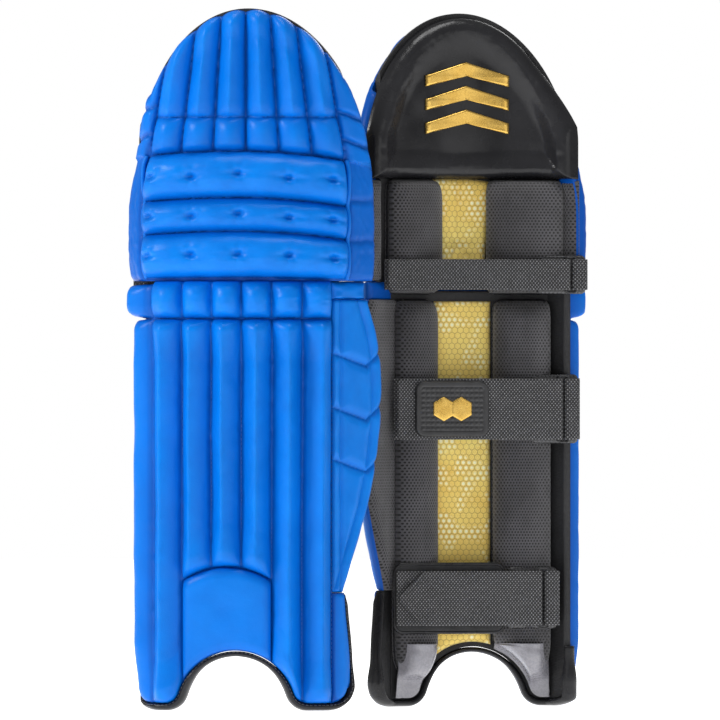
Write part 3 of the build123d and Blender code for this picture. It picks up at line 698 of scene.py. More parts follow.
def bolster(name, start, end, low, high, lower_round, seed):
    """A bolster's cushion and the piping round its foot."""
    angle, z, height = bolster_grid(start, end, low, high, lower_round, seed)
    across = np.radians(angle) * CUSHION_RADIUS
    front = arc_grid(angle, CUSHION_RADIUS - height, z)
    back = arc_grid(angle, CUSHION_RADIUS + 0.2, z)
    if low > KNUCKLE_BOTTOM:
        front, back = spread_back(front), spread_back(back)
    shell = shell_arrays(front, back, (across, z), step(height, 6, 30))
    loop = np.concatenate([front[:, 0], front[-1, 1:-1], front[::-1, -1], front[0, -2:0:-1]])
    loop[:, 1] += 0.3
    kernel = np.ones(9) / 9
    columns = [np.convolve(np.pad(loop[:, k], 4, "wrap"), kernel, "valid") for k in range(3)]
    piping = tube_arrays(np.stack(columns, -1)[::2], 1.7, sides=8, closed=True)
    return mesh_of(name, shell), mesh_of(name + "_piping", piping)


def side_lining():
    """Mesh lining inside the knee's two side pieces."""
    parts = []
    outer_end = KNEE_LENGTH + KNEE_OUTER_WIDTH - 1.5
    for start, end in ((-KNEE_INNER_WIDTH + 1.5, -7.0), (KNEE_LENGTH + 7.0, outer_end)):
        s = column_positions(start, end, 1.6)
        z = np.linspace(KNEE_BOTTOM + 1.5, ARCH_Z + 3, 66)[:, None] + 0 * s
        s = np.broadcast_to(s, z.shape)
        ends = np.minimum(z - KNEE_BOTTOM - 1.5, ARCH_Z + 3 - z)
        rim = np.minimum(np.minimum(s - start, end - s), ends)
        depth = 8.5 + 6.5 * rounded(rim, 9) + 0.5 * noise(s / 9, z / 12, 71) * rounded(rim, 12)
        front = spread_back(plan_grid(s, z, -depth, KNEE))
        back = spread_back(plan_grid(s, z, -8.15, KNEE))
        parts.append(shell_arrays(front, back, (s, z), step(depth, 9, 15)))
    return mesh_of("knee_side_lining", *parts)


TOP_PANEL_SPREAD = 34.0  # how gently the top panel bends round the board's corners
TOP_PANEL_LOW = 534.2
LINER_X, LINER_TOP = (-28, 40), 410.5


def top_pad():
    """Glossy panel inside the arched top, with a thick rolled rim, and the points of its face."""
    s = column_positions(-KNEE_INNER_WIDTH + 3, KNEE_LENGTH + KNEE_OUTER_WIDTH - 4, 1.5)
    x, _ = soft_section(s, -BOARD, KNEE, TOP_PANEL_SPREAD)
    high = arch_high(x, 4.5)
    slope = np.gradient(high, x)
    z = TOP_PANEL_LOW + np.linspace(0, 1, 112)[:, None] * (high - TOP_PANEL_LOW)
    sides = np.minimum(s - s[0], s[-1] - s)
    away = (high - z) / np.sqrt(1 + slope**2)
    d = np.minimum(np.minimum(sides, away), (z - TOP_PANEL_LOW) * 1.4)
    s = np.broadcast_to(s, z.shape)
    hollow = step(d, 14, 42)
    depth = 15.0 * rounded(d, 17, 2.2) * (1 - 0.28 * hollow)
    depth = depth + 0.5 * noise(s / 22, z / 22, 81) * rounded(d, 16)
    depth = depth + 0.25 * noise(s / 7, z / 6, 82) * (1 - hollow)
    front = spread_back(plan_grid(s, z, -BOARD - 0.6 - depth, KNEE, TOP_PANEL_SPREAD))
    back = spread_back(plan_grid(s, z, -BOARD - 0.35, KNEE, TOP_PANEL_SPREAD))
    return mesh_of("top_panel", shell_arrays(front, back, (s, z), step(depth, 4, 14))), front


def liner():
    """Patterned strip in the leg channel, with its two tails beside the instep."""
    face = LINING_RADIUS
    left, right = (angle_at(x, face) for x in LINER_X)
    angle = np.linspace(left + 1.0, right - 1.0, 46)
    x, _ = arc_point(angle, face)
    low = foot_low(x, BINDING + 4)
    z = low + np.linspace(0, 1, 200)[:, None] * (LINER_TOP - low)
    angle = np.broadcast_to(angle, z.shape)
    s = np.radians(angle) * face
    rim = np.minimum(np.minimum(s - s[:, :1], s[:, -1:] - s), np.minimum(z - low, LINER_TOP - z))
    depth = 0.6 + 4.2 * rounded(rim, 7) + 0.35 * noise(s / 16, z / 24, 91)
    front = arc_grid(angle, face - depth, z)
    back = arc_grid(angle, face - 0.1, z)
    return mesh_of("leg_liner", shell_arrays(front, back, (s, z), step(depth, 1, 5)))


def knee_patch():
    """Tapered patch at the knee, tucked to one point with a dart above it."""
    face = LINING_RADIUS
    z = np.linspace(430.5, 533.0, 72)[:, None]
    t = np.linspace(0, 1, 44)[None, :]
    taper = 9 * (533.0 - z) / 78
    left, right = -26 + taper * 0.8, 39 - taper * 0.8
    x = left + t * (right - left)
    angle = np.degrees(np.arcsin((x - LEG_AXIS_X) / face))
    z = z + 4.5 * step(z, 515, 533) * (1 - np.abs(2 * t - 1.25))
    z = np.minimum(z, 535.5)
    rim = np.minimum(np.minimum(x - left, right - x), np.minimum(z - z[:1], z[-1:] - z))
    dx, dz = x - 11.7, z - 467
    reach, turn = np.hypot(dx, dz), np.arctan2(dz, dx)
    tuck = 4.0 * np.exp(-((reach / 6) ** 2))
    tuck = tuck + 1.1 * np.cos(turn * 6 + 0.5) * np.exp(-(((reach - 12) / 10) ** 2))
    dart = 1.8 * np.exp(-((dx / 1.8) ** 2)) * step(z, 467, 474)
    depth = np.maximum(0.6 + 6.5 * rounded(rim, 8) - tuck * rounded(rim, 6) - dart, 0.5)
    depth = depth + 0.3 * noise(x / 6, z / 6, 95) * rounded(rim, 9)
    front = arc_grid(angle, face - depth, z)
    back = arc_grid(angle, face - 0.1, z)
    return mesh_of("knee_patch", shell_arrays(front, back, (x, z), step(depth, 1, 7)))


# --- straps ------------------------------------------------------------------------------
def strip_arrays(path, low, high):
    """Band of webbing that stands on edge along a plan path, with rounded selvedges."""
    length = path_length(path)
    tangent = unit(np.gradient(path, axis=0))
    normal = np.stack([-tangent[:, 1], tangent[:, 0]], -1)
    t = np.array([0, 0.012, 0.035, 0.1, 0.25, 0.4, 0.5, 0.6, 0.75, 0.9, 0.965, 0.988, 1.0])
    bead = np.array([0.15, 0.7, 1, 0.92, 0.88, 0.9, 0.9, 0.9, 0.88, 0.92, 1, 0.7, 0.15])
    bead = bead * WEBBING / 2
    low = np.broadcast_to(low, len(path))[:, None]
    high = np.broadcast_to(high, len(path))[:, None]
    z = low + t[None, :] * (high - low)
    sides = []
    for sign in (1, -1):
        x = path[:, :1] + normal[:, :1] * sign * bead
        y = path[:, 1:] + normal[:, 1:] * sign * bead
        sides.append(np.stack([x, y, z], -1))
    return shell_arrays(sides[0], sides[1], (np.broadcast_to(length[:, None], z.shape), z), 0.5)


def strap_y(q):
    """Depth of a strap's ring bars."""
    return CROWN + 0.3 + 1.5 + q["backing"] + 0.3 + 3.7


def band(q):
    return q["z"] - q["width"] / 2, q["z"] + q["width"] / 2


def level_run(x, y):
    """Plan path straight across the leg."""
    return np.stack([x, np.full(len(x), y)], -1)


def half_wrap(x, y, start, end, count):
    """Plan path of the webbing round an upright bar, between two angles."""
    turn = np.radians(np.linspace(start, end, count))
    return np.stack([x + WRAP * np.cos(turn), y + WRAP * np.sin(turn)], -1)


def tail_path(q):
    """Plan path of a tail, from round its ring's bar to its free end; it lies a little wavy."""
    y = strap_y(q)
    bar = q["bar"]
    wrap = half_wrap(bar, y, -90, -270, 13)
    run = np.arange(bar + 2.0, q["sewn"] - TAIL_SETBACK + 0.01, 2.0)
    path = np.concatenate([wrap, level_run(run, y + WRAP)])
    free = path[13:]
    free[:, 1] += 0.5 * np.sin((free[:, 0] - bar) / 24.0) * step(free[:, 0], bar, bar + 30) + 0.25
    return path


def tail_seams(q, end):
    """Stitch lines of a tail's free end, a box or, on a pointed tail, an arrow."""
    low, high = band(q)
    low, high, tip = low + 3, high - 3, q["tip"]
    if tip < 20:
        corners = [(end - 26, low), (end - 3 - tip, low), (end - 3, low + tip), (end - 3, high - tip)]
        corners += [(end - 3 - tip, high), (end - 26, high), (end - 26, low)]
    else:
        corners = [(end - 30, low), (end - 28, low), (end - 5, q["z"]), (end - 28, high)]
        corners += [(end - 30, high), (end - 30, low)]
    surface = strap_y(q) + WRAP + 1.35
    path = np.array([[x, surface, z] for x, z in corners])
    return [np.array([a, b]) for a, b in zip(path[:-1], path[1:]) if np.linalg.norm(b - a) > 3]


def strap_meshes(q):
    """A strap's tail, base, ring tab, anchor patch, tab stitches and tail stitches."""
    y = strap_y(q)
    low, high = band(q)
    end = q["sewn"] - TAIL_SETBACK
    path = tail_path(q)
    trim = q["tip"] * np.clip((path[:, 0] - (end - q["tip"])) / q["tip"], 0, 1)
    tail = strip_arrays(path, low + trim, high - trim)
    base = strip_arrays(level_run(np.arange(q["bar"] + 4.2, q["sewn"], 2.0), y - WRAP), low, high)
    far = q["bar"] - RING_PITCH
    wrap = half_wrap(far, y, -90, 90, 11)
    out = np.linspace(far - TAB, far - 1, 5)
    loop = np.concatenate([level_run(out, y - WRAP), wrap, level_run(out[::-1], y + WRAP)])
    tab = strip_arrays(loop, low, high)
    face = y + WRAP + 1.0
    lines = [np.array([[x, face, low + 2], [x, face, high - 2]]) for x in (far - 9.5, far - 6.5)]
    stitches = [stitch_arrays(line, (0.0, 1.0, 0.0), 3.6, 2.4, 0.4) for line in lines]
    free = [stitch_arrays(line, (0.0, 1.0, 0.0), 3.4, 2.3, 0.38) for line in tail_seams(q, end)]
    return tail, base, tab, anchor_patch(q), stitches, free


def rounded_plate(x0, x1, z0, z1, y0, y1, corner, ease, pitch=2.0, relief=None):
    """Plate with rounded corners and soft edges, facing back from y0 to y1."""
    columns = int((x1 - x0) / pitch) + 1
    rows = int((z1 - z0) / pitch) + 1
    hx, hz = (x1 - x0) / 2, (z1 - z0) / 2
    x, z = np.meshgrid(np.linspace(-1, 1, columns) * hx, np.linspace(-1, 1, rows) * hz)
    over_x, over_z = np.abs(x) - (hx - corner), np.abs(z) - (hz - corner)
    both = (over_x > 0) & (over_z > 0)
    reach = np.maximum(np.hypot(over_x, over_z), 1e-6)
    square = np.maximum(over_x, over_z)
    pull = np.where(both, square / reach, 1)
    x = np.where(both, np.sign(x) * (hx - corner + over_x * pull), x)
    z = np.where(both, np.sign(z) * (hz - corner + over_z * pull), z)
    rim = np.where(both, corner - square, np.minimum(hx - np.abs(x), hz - np.abs(z)))
    height = (y1 - y0) * rounded(rim, ease)
    if relief is not None:
        height = height + relief(x, z, rim)
    cx, cz = (x0 + x1) / 2, (z0 + z1) / 2
    front = np.stack([x + cx, y0 + np.maximum(height, 0.15), z + cz], -1)
    back = np.stack([x + cx, y0 + 0 * height, z + cz], -1)
    return shell_arrays(front, back, (x, z), step(height, 0.5, 3))


def anchor_patch(q):
    """Thin glossy patch that holds the ring's tab, a flat plate over the bolster's inner side."""
    low, high = band(q)
    far = q["bar"] - RING_PITCH
    return rounded_plate(far - TAB, far + 40, low - 4, high + 4, CROWN + 0.35, CROWN + 1.7, 5.0, 1.2)


def pyramids(x, z, rim):
    """Moulded grid of small four-sided pyramids inside a plain border."""
    cell = 5.0
    a = np.abs(((x / cell + 0.5) % 1) - 0.5) * 2
    b = np.abs(((z / cell + 0.5) % 1) - 0.5) * 2
    return np.where(rim > 5.5, 1.1 * (1 - np.maximum(a, b)) - 0.9, 0.0)


def emblem(outline, place, thickness, lift=0.0):
    """Raised plate from a closed front-view outline, bevelled towards its middle."""
    outline = np.asarray(outline, float)
    centre = outline.mean(0)
    rings = [(1.0, 0.0), (1.0, 0.55), (0.93, 0.95), (0.86, 1.0), (0.5, 1.0), (0.05, 1.0)]
    grid = []
    for scale, rise in rings:
        ring = centre + (outline - centre) * scale
        grid.append([place(x, z, rise * thickness + lift) for x, z in ring])
    points = np.array(grid).reshape(-1, 3)
    i = np.arange(len(points)).reshape(len(rings), len(outline))
    j = np.roll(i, -1, 1)
    faces = np.stack([i[:-1], j[:-1], j[1:], i[1:]], -1).reshape(-1, 4)
    caps = np.stack([i[0][::-1], i[-1]])
    return points, [faces, caps], points.copy(), np.full(len(points), 0.7)


def hexagon_outline(cx, cz, radius):
    corners = [math.radians(30 + 60 * n) for n in range(6)]
    corners = [(cx + radius * math.cos(a), cz + radius * math.sin(a)) for a in corners]
    return subdivide(corners, lambda length: 8)


# --- materials ---------------------------------------------------------------------------
class Look:
    """One procedural material."""

    def __init__(self, name, **shader):
        self.material = bpy.data.materials.new(name)
        self.material.use_nodes = True
        self.nodes = self.material.node_tree.nodes
        self.links = self.material.node_tree.links
        self.shader = self.nodes["Principled BSDF"]
        for key, value in shader.items():
            self.shader.inputs[key.replace("_", " ")].default_value = value

    def node(self, kind, inputs=(), **settings):
        made = self.nodes.new("ShaderNode" + kind)
        for key, value in settings.items():
            setattr(made, key, value)
        for key, value in dict(inputs).items():
            if isinstance(value, bpy.types.NodeSocket):
                self.links.new(value, made.inputs[key])
            else:
                made.inputs[key].default_value = value
        return made

    def math(self, operation, a, b=0.0, c=0.0):
        return self.node("Math", {0: a, 1: b, 2: c}, operation=operation).outputs[0]

    def vector(self, operation, a, b=(0, 0, 0)):
        return self.node("VectorMath", {0: a, 1: b}, operation=operation).outputs[0]

    def pattern(self):
        return self.node("Attribute", attribute_name="pattern").outputs["Vector"]

    def crown(self):
        return self.node("Attribute", attribute_name="crown").outputs["Fac"]

    def place(self):
        return self.node("TexCoord").outputs["Object"]

    def noise(self, vector, scale, detail=3.0):
        inputs = {"Vector": vector, "Scale": scale, "Detail": detail, "Roughness": 0.55}
        return self.node("TexNoise", inputs).outputs[0]

    def mottle(self, vector, scale, dark, light, detail=3.0):
        """Colour that wanders between two shades."""
        return self.ramp(self.noise(vector, scale, detail), [(0.3, dark), (0.7, light)])

    def uneven(self, vector, scale, low, high, detail=3.0):
        """Roughness that wanders between two values."""
        return self.range(self.noise(vector, scale, detail), 0.3, 0.7, low, high)

    def cells(self, vector, scale):
        return self.node("TexVoronoi", {"Vector": vector, "Scale": scale}).outputs["Distance"]

    def ramp(self, value, stops):
        made = self.node("ValToRGB", {0: value})
        for element, stop in zip(made.color_ramp.elements, stops):
            element.position, element.color = stop
        return made.outputs[0]

    def mix(self, factor, a, b):
        return self.node("Mix", {0: factor, 6: a, 7: b}, data_type="RGBA").outputs[2]

    def range(self, value, low, high, to_low, to_high):
        return self.node("MapRange", {0: value, 1: low, 2: high, 3: to_low, 4: to_high}).outputs[0]

    def bump(self, height, strength, distance, normal=None):
        inputs = {"Height": height, "Strength": strength, "Distance": distance}
        if normal is not None:
            inputs["Normal"] = normal
        return self.node("Bump", inputs).outputs[0]

    def hexagon(self, vector, size):
        """Distance from the middle of a hexagonal cell, 0 there and 0.5 at its edge."""
        scaled = self.vector("MULTIPLY", vector, (1 / size, 1 / size, 1 / size))
        tall = (1.0, 1.7320508, 1.0)
        half = (0.5, 0.8660254, 0.5)
        picks = []
        for shift in ((50.0, 86.60254, 0.0), (50.5, 87.4685654, 0.0)):
            moved = self.vector("ADD", scaled, shift)
            cell = self.vector("SUBTRACT", self.vector("MODULO", moved, tall), half)
            split = self.node("SeparateXYZ", {0: self.vector("ABSOLUTE", cell)})
            flat, up = split.outputs[0], split.outputs[1]
            slant = self.math("MULTIPLY", flat, 0.5)
            slant = self.math("ADD", slant, self.math("MULTIPLY", up, 0.8660254))
            picks.append(self.math("MAXIMUM", flat, slant))
        return self.math("MINIMUM", *picks)

    def set(self, **sockets):
        for key, value in sockets.items():
            self.links.new(value, self.shader.inputs[key.replace("_", " ")])
        return self.material

    def finish(self, colour, roughness, height, strength, distance, normal=None):
        """The material with its colour, roughness and bump joined up."""
        bumped = self.bump(height, strength, distance, normal)
        return self.set(Base_Color=colour, Roughness=roughness, Normal=bumped)


def rgb(r, g, b):
    return (r, g, b, 1.0)


def blue_leather():
    look = Look("blue_leather", Specular_IOR_Level=0.16, Coat_Weight=0.02, Coat_Roughness=0.25)
    place = look.place()
    tone = look.mottle(place, 9.0, rgb(0.0, 0.125, 0.54), rgb(0.0, 0.165, 0.68))
    # Painted highlight: the blue is lightened, in a mottle, where the leather stands out most.
    painted_crown_highlight = look.math("MULTIPLY", look.math("POWER", look.crown(), 3.0), look.noise(place, 60.0, 4.0))
    tone = look.mix(look.math("MULTIPLY", painted_crown_highlight, 0.55), tone, rgb(0.0, 0.27, 0.88))
    # Painted shade: the blue is darkened where the leather lies low, in the seams and valleys between
    # ribs.
    painted_valley_shade = look.range(look.crown(), 0.0, 0.25, 0.72, 0.0)
    tone = look.mix(painted_valley_shade, tone, rgb(0.0, 0.045, 0.30))
    grain = look.cells(place, 950.0)
    fine = look.noise(place, 420.0, 2.0)
    height = look.math("ADD", look.math("MULTIPLY", grain, 0.6), look.math("MULTIPLY", fine, 0.6))
    rough = look.uneven(place, 45.0, 0.30, 0.44)
    creased = look.bump(look.noise(place, 130.0, 3.0), 0.35, 0.0006)
    return look.finish(tone, rough, height, 0.32, 0.0003, creased)


def black_leather():
    look = Look("black_leather", Specular_IOR_Level=0.26, Coat_Weight=0.1, Coat_Roughness=0.15)
    place = look.place()
    tone = look.mottle(place, 14.0, rgb(0.006, 0.006, 0.007), rgb(0.016, 0.016, 0.018))
    # Painted highlight: the black is lightened where the leather stands out most, such as the top
    # panel's rolled rim.
    painted_crown_highlight = look.math("MULTIPLY", look.math("POWER", look.crown(), 4.0), 0.25)
    tone = look.mix(painted_crown_highlight, tone, rgb(0.04, 0.04, 0.044))
    height = look.math("ADD", look.cells(place, 700.0), look.noise(place, 260.0, 3.0))
    rough = look.uneven(place, 50.0, 0.18, 0.32)
    return look.finish(tone, rough, height, 0.22, 0.0003)


def spacer_mesh():
    look = Look("spacer_mesh", Sheen_Weight=0.25, Sheen_Roughness=0.5)
    place, pattern = look.place(), look.pattern()
    hole = look.hexagon(pattern, 0.0034)
    tone = look.mottle(place, 25.0, rgb(0.050, 0.048, 0.053), rgb(0.090, 0.087, 0.096))
    # Painted shade: the mesh's holes are painted near-black, for the shade inside them.
    edge = look.range(hole, 0.24, 0.34, 0.0, 1.0)
    tone = look.mix(edge, rgb(0.003, 0.003, 0.003), tone)
    thread = look.noise(pattern, 2600.0, 2.0)
    height = look.math("ADD", look.math("MULTIPLY", edge, 1.0), look.math("MULTIPLY", thread, 0.25))
    rough = look.range(thread, 0.2, 0.8, 0.7, 0.92)
    return look.finish(tone, rough, height, 0.8, 0.0006)


def gold_fabric():
    look = Look("gold_fabric", Metallic=0.25, Sheen_Weight=0.25)
    place, pattern = look.place(), look.pattern()
    cell = look.hexagon(pattern, 0.0062)
    inner = look.hexagon(pattern, 0.0021)
    tone = look.mottle(place, 22.0, rgb(0.92, 0.63, 0.13), rgb(1.0, 0.82, 0.24))
    line = look.range(cell, 0.43, 0.47, 0.0, 1.0)
    # Painted glints: dots in random clusters are painted pale gold for the fabric's sheen; they are
    # also raised in the bump.
    cluster = look.range(look.noise(place, 48.0, 1.0), 0.50, 0.60, 0.0, 1.0)
    dot = look.math("MULTIPLY", look.range(cell, 0.24, 0.32, 1.0, 0.0), cluster)
    tone = look.mix(look.math("MULTIPLY", line, 0.75), tone, rgb(0.50, 0.30, 0.05))
    tone = look.mix(dot, tone, rgb(1.0, 0.93, 0.60))
    weave = look.range(inner, 0.30, 0.48, 1.0, 0.0)
    raised = look.math("ADD", weave, look.math("MULTIPLY", dot, 2.0))
    height = look.math("SUBTRACT", raised, look.math("MULTIPLY", line, 2.0))
    rough = look.uneven(pattern, 1500.0, 0.30, 0.48, 2.0)
    return look.finish(tone, rough, height, 0.6, 0.0004)


def strap_webbing():
    look = Look("strap_webbing", Sheen_Weight=0.2)
    pattern = look.pattern()
    split = look.node("SeparateXYZ", {0: pattern})
    along = look.math("SINE", look.math("MULTIPLY", split.outputs[0], 2 * math.pi / 0.0034))
    across = look.math("SINE", look.math("MULTIPLY", split.outputs[1], 2 * math.pi / 0.0040))
    weave = look.math("MULTIPLY", along, across)
    tone = look.mottle(pattern, 40.0, rgb(0.010, 0.010, 0.011), rgb(0.022, 0.022, 0.024))
    # Painted glints: light grey specks are painted on the raised crests of the black weave.
    raised = look.range(weave, 0.35, 0.8, 0.0, 1.0)
    painted_weave_glints = look.math("MULTIPLY", raised, look.noise(pattern, 300.0, 1.0))
    tone = look.mix(painted_weave_glints, tone, rgb(0.46, 0.46, 0.48))
    rough = look.uneven(pattern, 800.0, 0.62, 0.82)
    return look.finish(tone, rough, weave, 0.7, 0.0005)


def dot_patch():
    look = Look("dot_patch", Coat_Weight=0.3, Coat_Roughness=0.2)
    cell = look.hexagon(look.pattern(), 0.0042)
    dot = look.range(cell, 0.26, 0.34, 1.0, 0.0)
    base = look.mottle(look.place(), 30.0, rgb(0.008, 0.008, 0.009), rgb(0.016, 0.016, 0.018))
    tone = look.mix(dot, base, rgb(0.045, 0.045, 0.05))
    rough = look.uneven(look.place(), 200.0, 0.22, 0.38)
    return look.finish(tone, rough, dot, 0.6, 0.0004)


def clear_film():
    look = Look("clear_film", Alpha=0.88, Coat_Weight=0.4, Coat_Roughness=0.1)
    place = look.place()
    tone = look.mottle(place, 30.0, rgb(0.25, 0.245, 0.275), rgb(0.33, 0.325, 0.355))
    scuff = look.noise(place, 380.0, 5.0)
    rough = look.range(scuff, 0.35, 0.7, 0.16, 0.42)
    return look.finish(tone, rough, look.noise(place, 90.0), 0.4, 0.0008)


def neoprene():
    look = Look("neoprene", Sheen_Weight=0.3)
    place = look.place()
    tone = look.mottle(place, 60.0, rgb(0.012, 0.012, 0.013), rgb(0.026, 0.026, 0.028))
    knit = look.cells(place, 1300.0)
    rough = look.uneven(place, 700.0, 0.75, 0.92)
    return look.finish(tone, rough, knit, 0.5, 0.0003)


def lining_cloth(name, dark, light):
    look = Look(name)
    place = look.place()
    tone = look.mottle(place, 18.0, dark, light)
    split = look.node("SeparateXYZ", {0: place})
    rows = look.math("SINE", look.math("MULTIPLY", split.outputs[2], 2 * math.pi / 0.0016))
    turned = look.math("ADD", split.outputs[0], split.outputs[1])
    columns = look.math("SINE", look.math("MULTIPLY", turned, 2 * math.pi / 0.0016))
    weave = look.math("MULTIPLY", rows, columns)
    rough = look.uneven(place, 300.0, 0.6, 0.8)
    return look.finish(tone, rough, weave, 0.4, 0.0003)


def moulded(name, dark, light, shine, metal=0.0):
    look = Look(name, Metallic=metal)
    place = look.place()
    tone = look.mottle(place, 80.0, dark, light, 4.0)
    rough = look.uneven(place, 500.0, shine * 0.8, shine * 1.25, 4.0)
    return look.finish(tone, rough, look.noise(place, 900.0), 0.15, 0.0002)


def thread(name, dark, light):
    look = Look(name, Sheen_Weight=0.2)
    place = look.place()
    tone = look.mottle(place, 300.0, dark, light)
    twist = look.node("TexWave", {"Vector": place, "Scale": 900.0, "Distortion": 2.0}).outputs["Fac"]
    rough = look.uneven(place, 900.0, 0.4, 0.6)
    return look.finish(tone, rough, twist, 0.5, 0.0002)


def cane_look():
    look = Look("cane", Roughness=0.5)
    place = look.place()
    streak = look.noise(look.vector("MULTIPLY", place, (220.0, 220.0, 12.0)), 3.0, 4.0)
    tone = look.ramp(streak, [(0.3, rgb(0.42, 0.24, 0.09)), (0.7, rgb(0.60, 0.38, 0.17))])
    return look.set(Base_Color=tone, Normal=look.bump(streak, 0.3, 0.0004))


LOOKS = {
    "blue": blue_leather(),
    "black": black_leather(),
    "mesh": spacer_mesh(),
    "gold": gold_fabric(),
    "webbing": strap_webbing(),
    "patch": dot_patch(),
    "film": clear_film(),
    "neoprene": neoprene(),
    "board": lining_cloth("board_lining", rgb(0.010, 0.010, 0.011), rgb(0.022, 0.022, 0.024)),
    "ring": moulded("ring_plastic", rgb(0.012, 0.012, 0.013), rgb(0.022, 0.022, 0.024), 0.3),
    "badge": moulded("badge_rubber", rgb(0.016, 0.016, 0.017), rgb(0.03, 0.03, 0.032), 0.42),
    "emblem": moulded("emblem_gold", rgb(0.66, 0.40, 0.08), rgb(0.80, 0.52, 0.13), 0.26, 0.85),
    "blue_thread": thread("blue_thread", rgb(0.0, 0.06, 0.34), rgb(0.0, 0.10, 0.50)),
    "dark_thread": thread("dark_thread", rgb(0.035, 0.035, 0.038), rgb(0.09, 0.09, 0.095)),
    "cane": cane_look(),
}


# --- placing -----------------------------------------------------------------------------
def pad_matrix(pad):
    """Where a pad's own frame lies, from the record's knee joint."""
    joint = next(j for j in frame["record"]["behaviour"]["joints"] if j["name"] == f"{pad}_knee_flex")
    x = -Vector(joint["axis"]).normalized()
    z = Vector((0, 0, 1))
    turn = Matrix((x, z.cross(x), z)).transposed()
    origin = Vector(joint["pos_m"]) - turn @ (Vector(HINGE) * MM)
    return Matrix.Translation(origin) @ turn.to_4x4()


PADS = {pad: pad_matrix(pad) for pad in ("pad_a", "pad_b")}


def put(name, mesh, look, body, nodes=()):
    """Shows a copy of a mesh on each pad; body and nodes are named without the pad."""
    mesh.materials.clear()
    mesh.materials.append(LOOKS[look])
    made = []
    for pad, place in PADS.items():
        own = mesh.copy()
        own.transform(place)
        piece = bpy.data.objects.new(f"{pad}_{name}", own)
        bpy.context.collection.objects.link(piece)
        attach(piece, f"{pad}_{body}")
        if nodes:
            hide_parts(*[f"{pad}_{node}" for node in nodes])
        made.append(piece)
    return made


def bend(piece, pad, low, high):
    """Takes a piece off its body and bakes its place into its mesh."""
    piece.parent = None
    del piece["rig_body"]
    points = [PADS[pad] @ Vector((HINGE[0] * MM, HINGE[1] * MM, z * MM)) for z in (low, high)]
    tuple(points[0])
    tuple(points[1])
    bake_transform(piece)


put("shin_cover", shin_cover(), "blue", "shin", ["shin_ribs"])
put("shin_core", shin_core(), "board", "shin", ["shin_board"])
put("instep_cover", instep_cover(), "blue", "shin", ["instep_panel"])
knee_nodes = ["knee_rolls", "top_ribs", "knee_side_pieces"]
put("knee_cover", knee_cover(), "blue", "knee", knee_nodes)
wing_mesh, wing_back = wing_cover()
put("wing_cover", wing_mesh, "blue", "wing", ["wing_panel"])
put("wing_liner", wing_back, "mesh", "wing", ["wing_lining"])


def gusset(low, high):
    """Soft bridge between the top of the wing and the knee section."""
    s = column_positions(FRONT_LENGTH - 1.0, FRONT_LENGTH + 46, 1.5)
    z = np.linspace(low, high, 20)[:, None] + 0 * s
    s = np.broadcast_to(s, z.shape)
    ends = np.minimum((z - low) * 2.4 + 1.5, high - z)
    rim = np.minimum(np.minimum(s - s[0, 0], s[0, -1] - s), ends)
    puff = rounded(rim, 8)
    out = -4.0 + 6.5 * puff + 0.6 * noise(s / 7, z / 5, 65) * puff
    front = plan_grid(s, z, out, SHIN)
    back = plan_grid(s, z, -4.6 - 4.0 * puff, SHIN)
    return mesh_of("wing_gusset", shell_arrays(front, back, (s, z), step(out, -2, 3)))


gusset_mesh = gusset(WING_TOP + 0.05, KNEE_BOTTOM - 0.05)
for pad, piece in zip(PADS, put("wing_gusset", gusset_mesh, "blue", "shin", ())):
    bend(piece, pad, WING_TOP + 1, KNEE_BOTTOM - 1)


def binding():
    """Rolled binding round the foot of the pad."""
    reach_in, reach_out = -(INNER_WIDTH + 3), FRONT_LENGTH + FLANK_WIDTH + 0.5
    s = np.arange(reach_in, reach_out + 0.01, 1.5)
    x, _ = section(s, 0, *SHIN)
    low = foot_low(x, BINDING / 2)
    left = np.arange(61.0, low[0] + 1, -3.0)
    right = np.arange(low[-1] + 1, WING_BOTTOM - 1, 3.0)
    s = np.concatenate([np.full(len(left), s[0]), s, FRONT_LENGTH + flank_width(right) + 2.5])
    z = np.concatenate([left, low, right])
    x, y = soft_section(s, -BOARD / 2, SHIN, 6.0)
    path = np.stack([x, y, z], -1)
    x2, y2 = soft_section(s, BOARD / 2, SHIN, 6.0)
    up = unit(np.stack([x2 - x, y2 - y, 0 * z], -1))
    for k in range(3):
        path[1:-1, k] = (path[:-2, k] + path[1:-1, k] * 2 + path[2:, k]) / 4
    wobble = 1 + 0.03 * noise(np.arange(len(z)) / 5.0, 0, 101)
    slim = (1 - 0.32 * step(z, 24, 50)) * (1 - 0.5 * step(z, WING_BOTTOM - 14, WING_BOTTOM))
    tube = tube_arrays(path, 9.6 * slim * wobble, sides=20, squash=0.42, up=up)
    line = path + up * (9.0 * slim)[:, None]
    line = line - np.cross(unit(np.gradient(path, axis=0)), up) * 1.6
    stitches = stitch_arrays(line, up.mean(0), 4.2, 2.8, 0.4)
    return mesh_of("edge_roll", tube), mesh_of("edge_roll_stitches", stitches)


edge_mesh, edge_stitches = binding()
put("edge_roll", edge_mesh, "black", "shin", ["edge_binding"])
put("edge_roll_stitches", edge_stitches, "dark_thread", "shin")

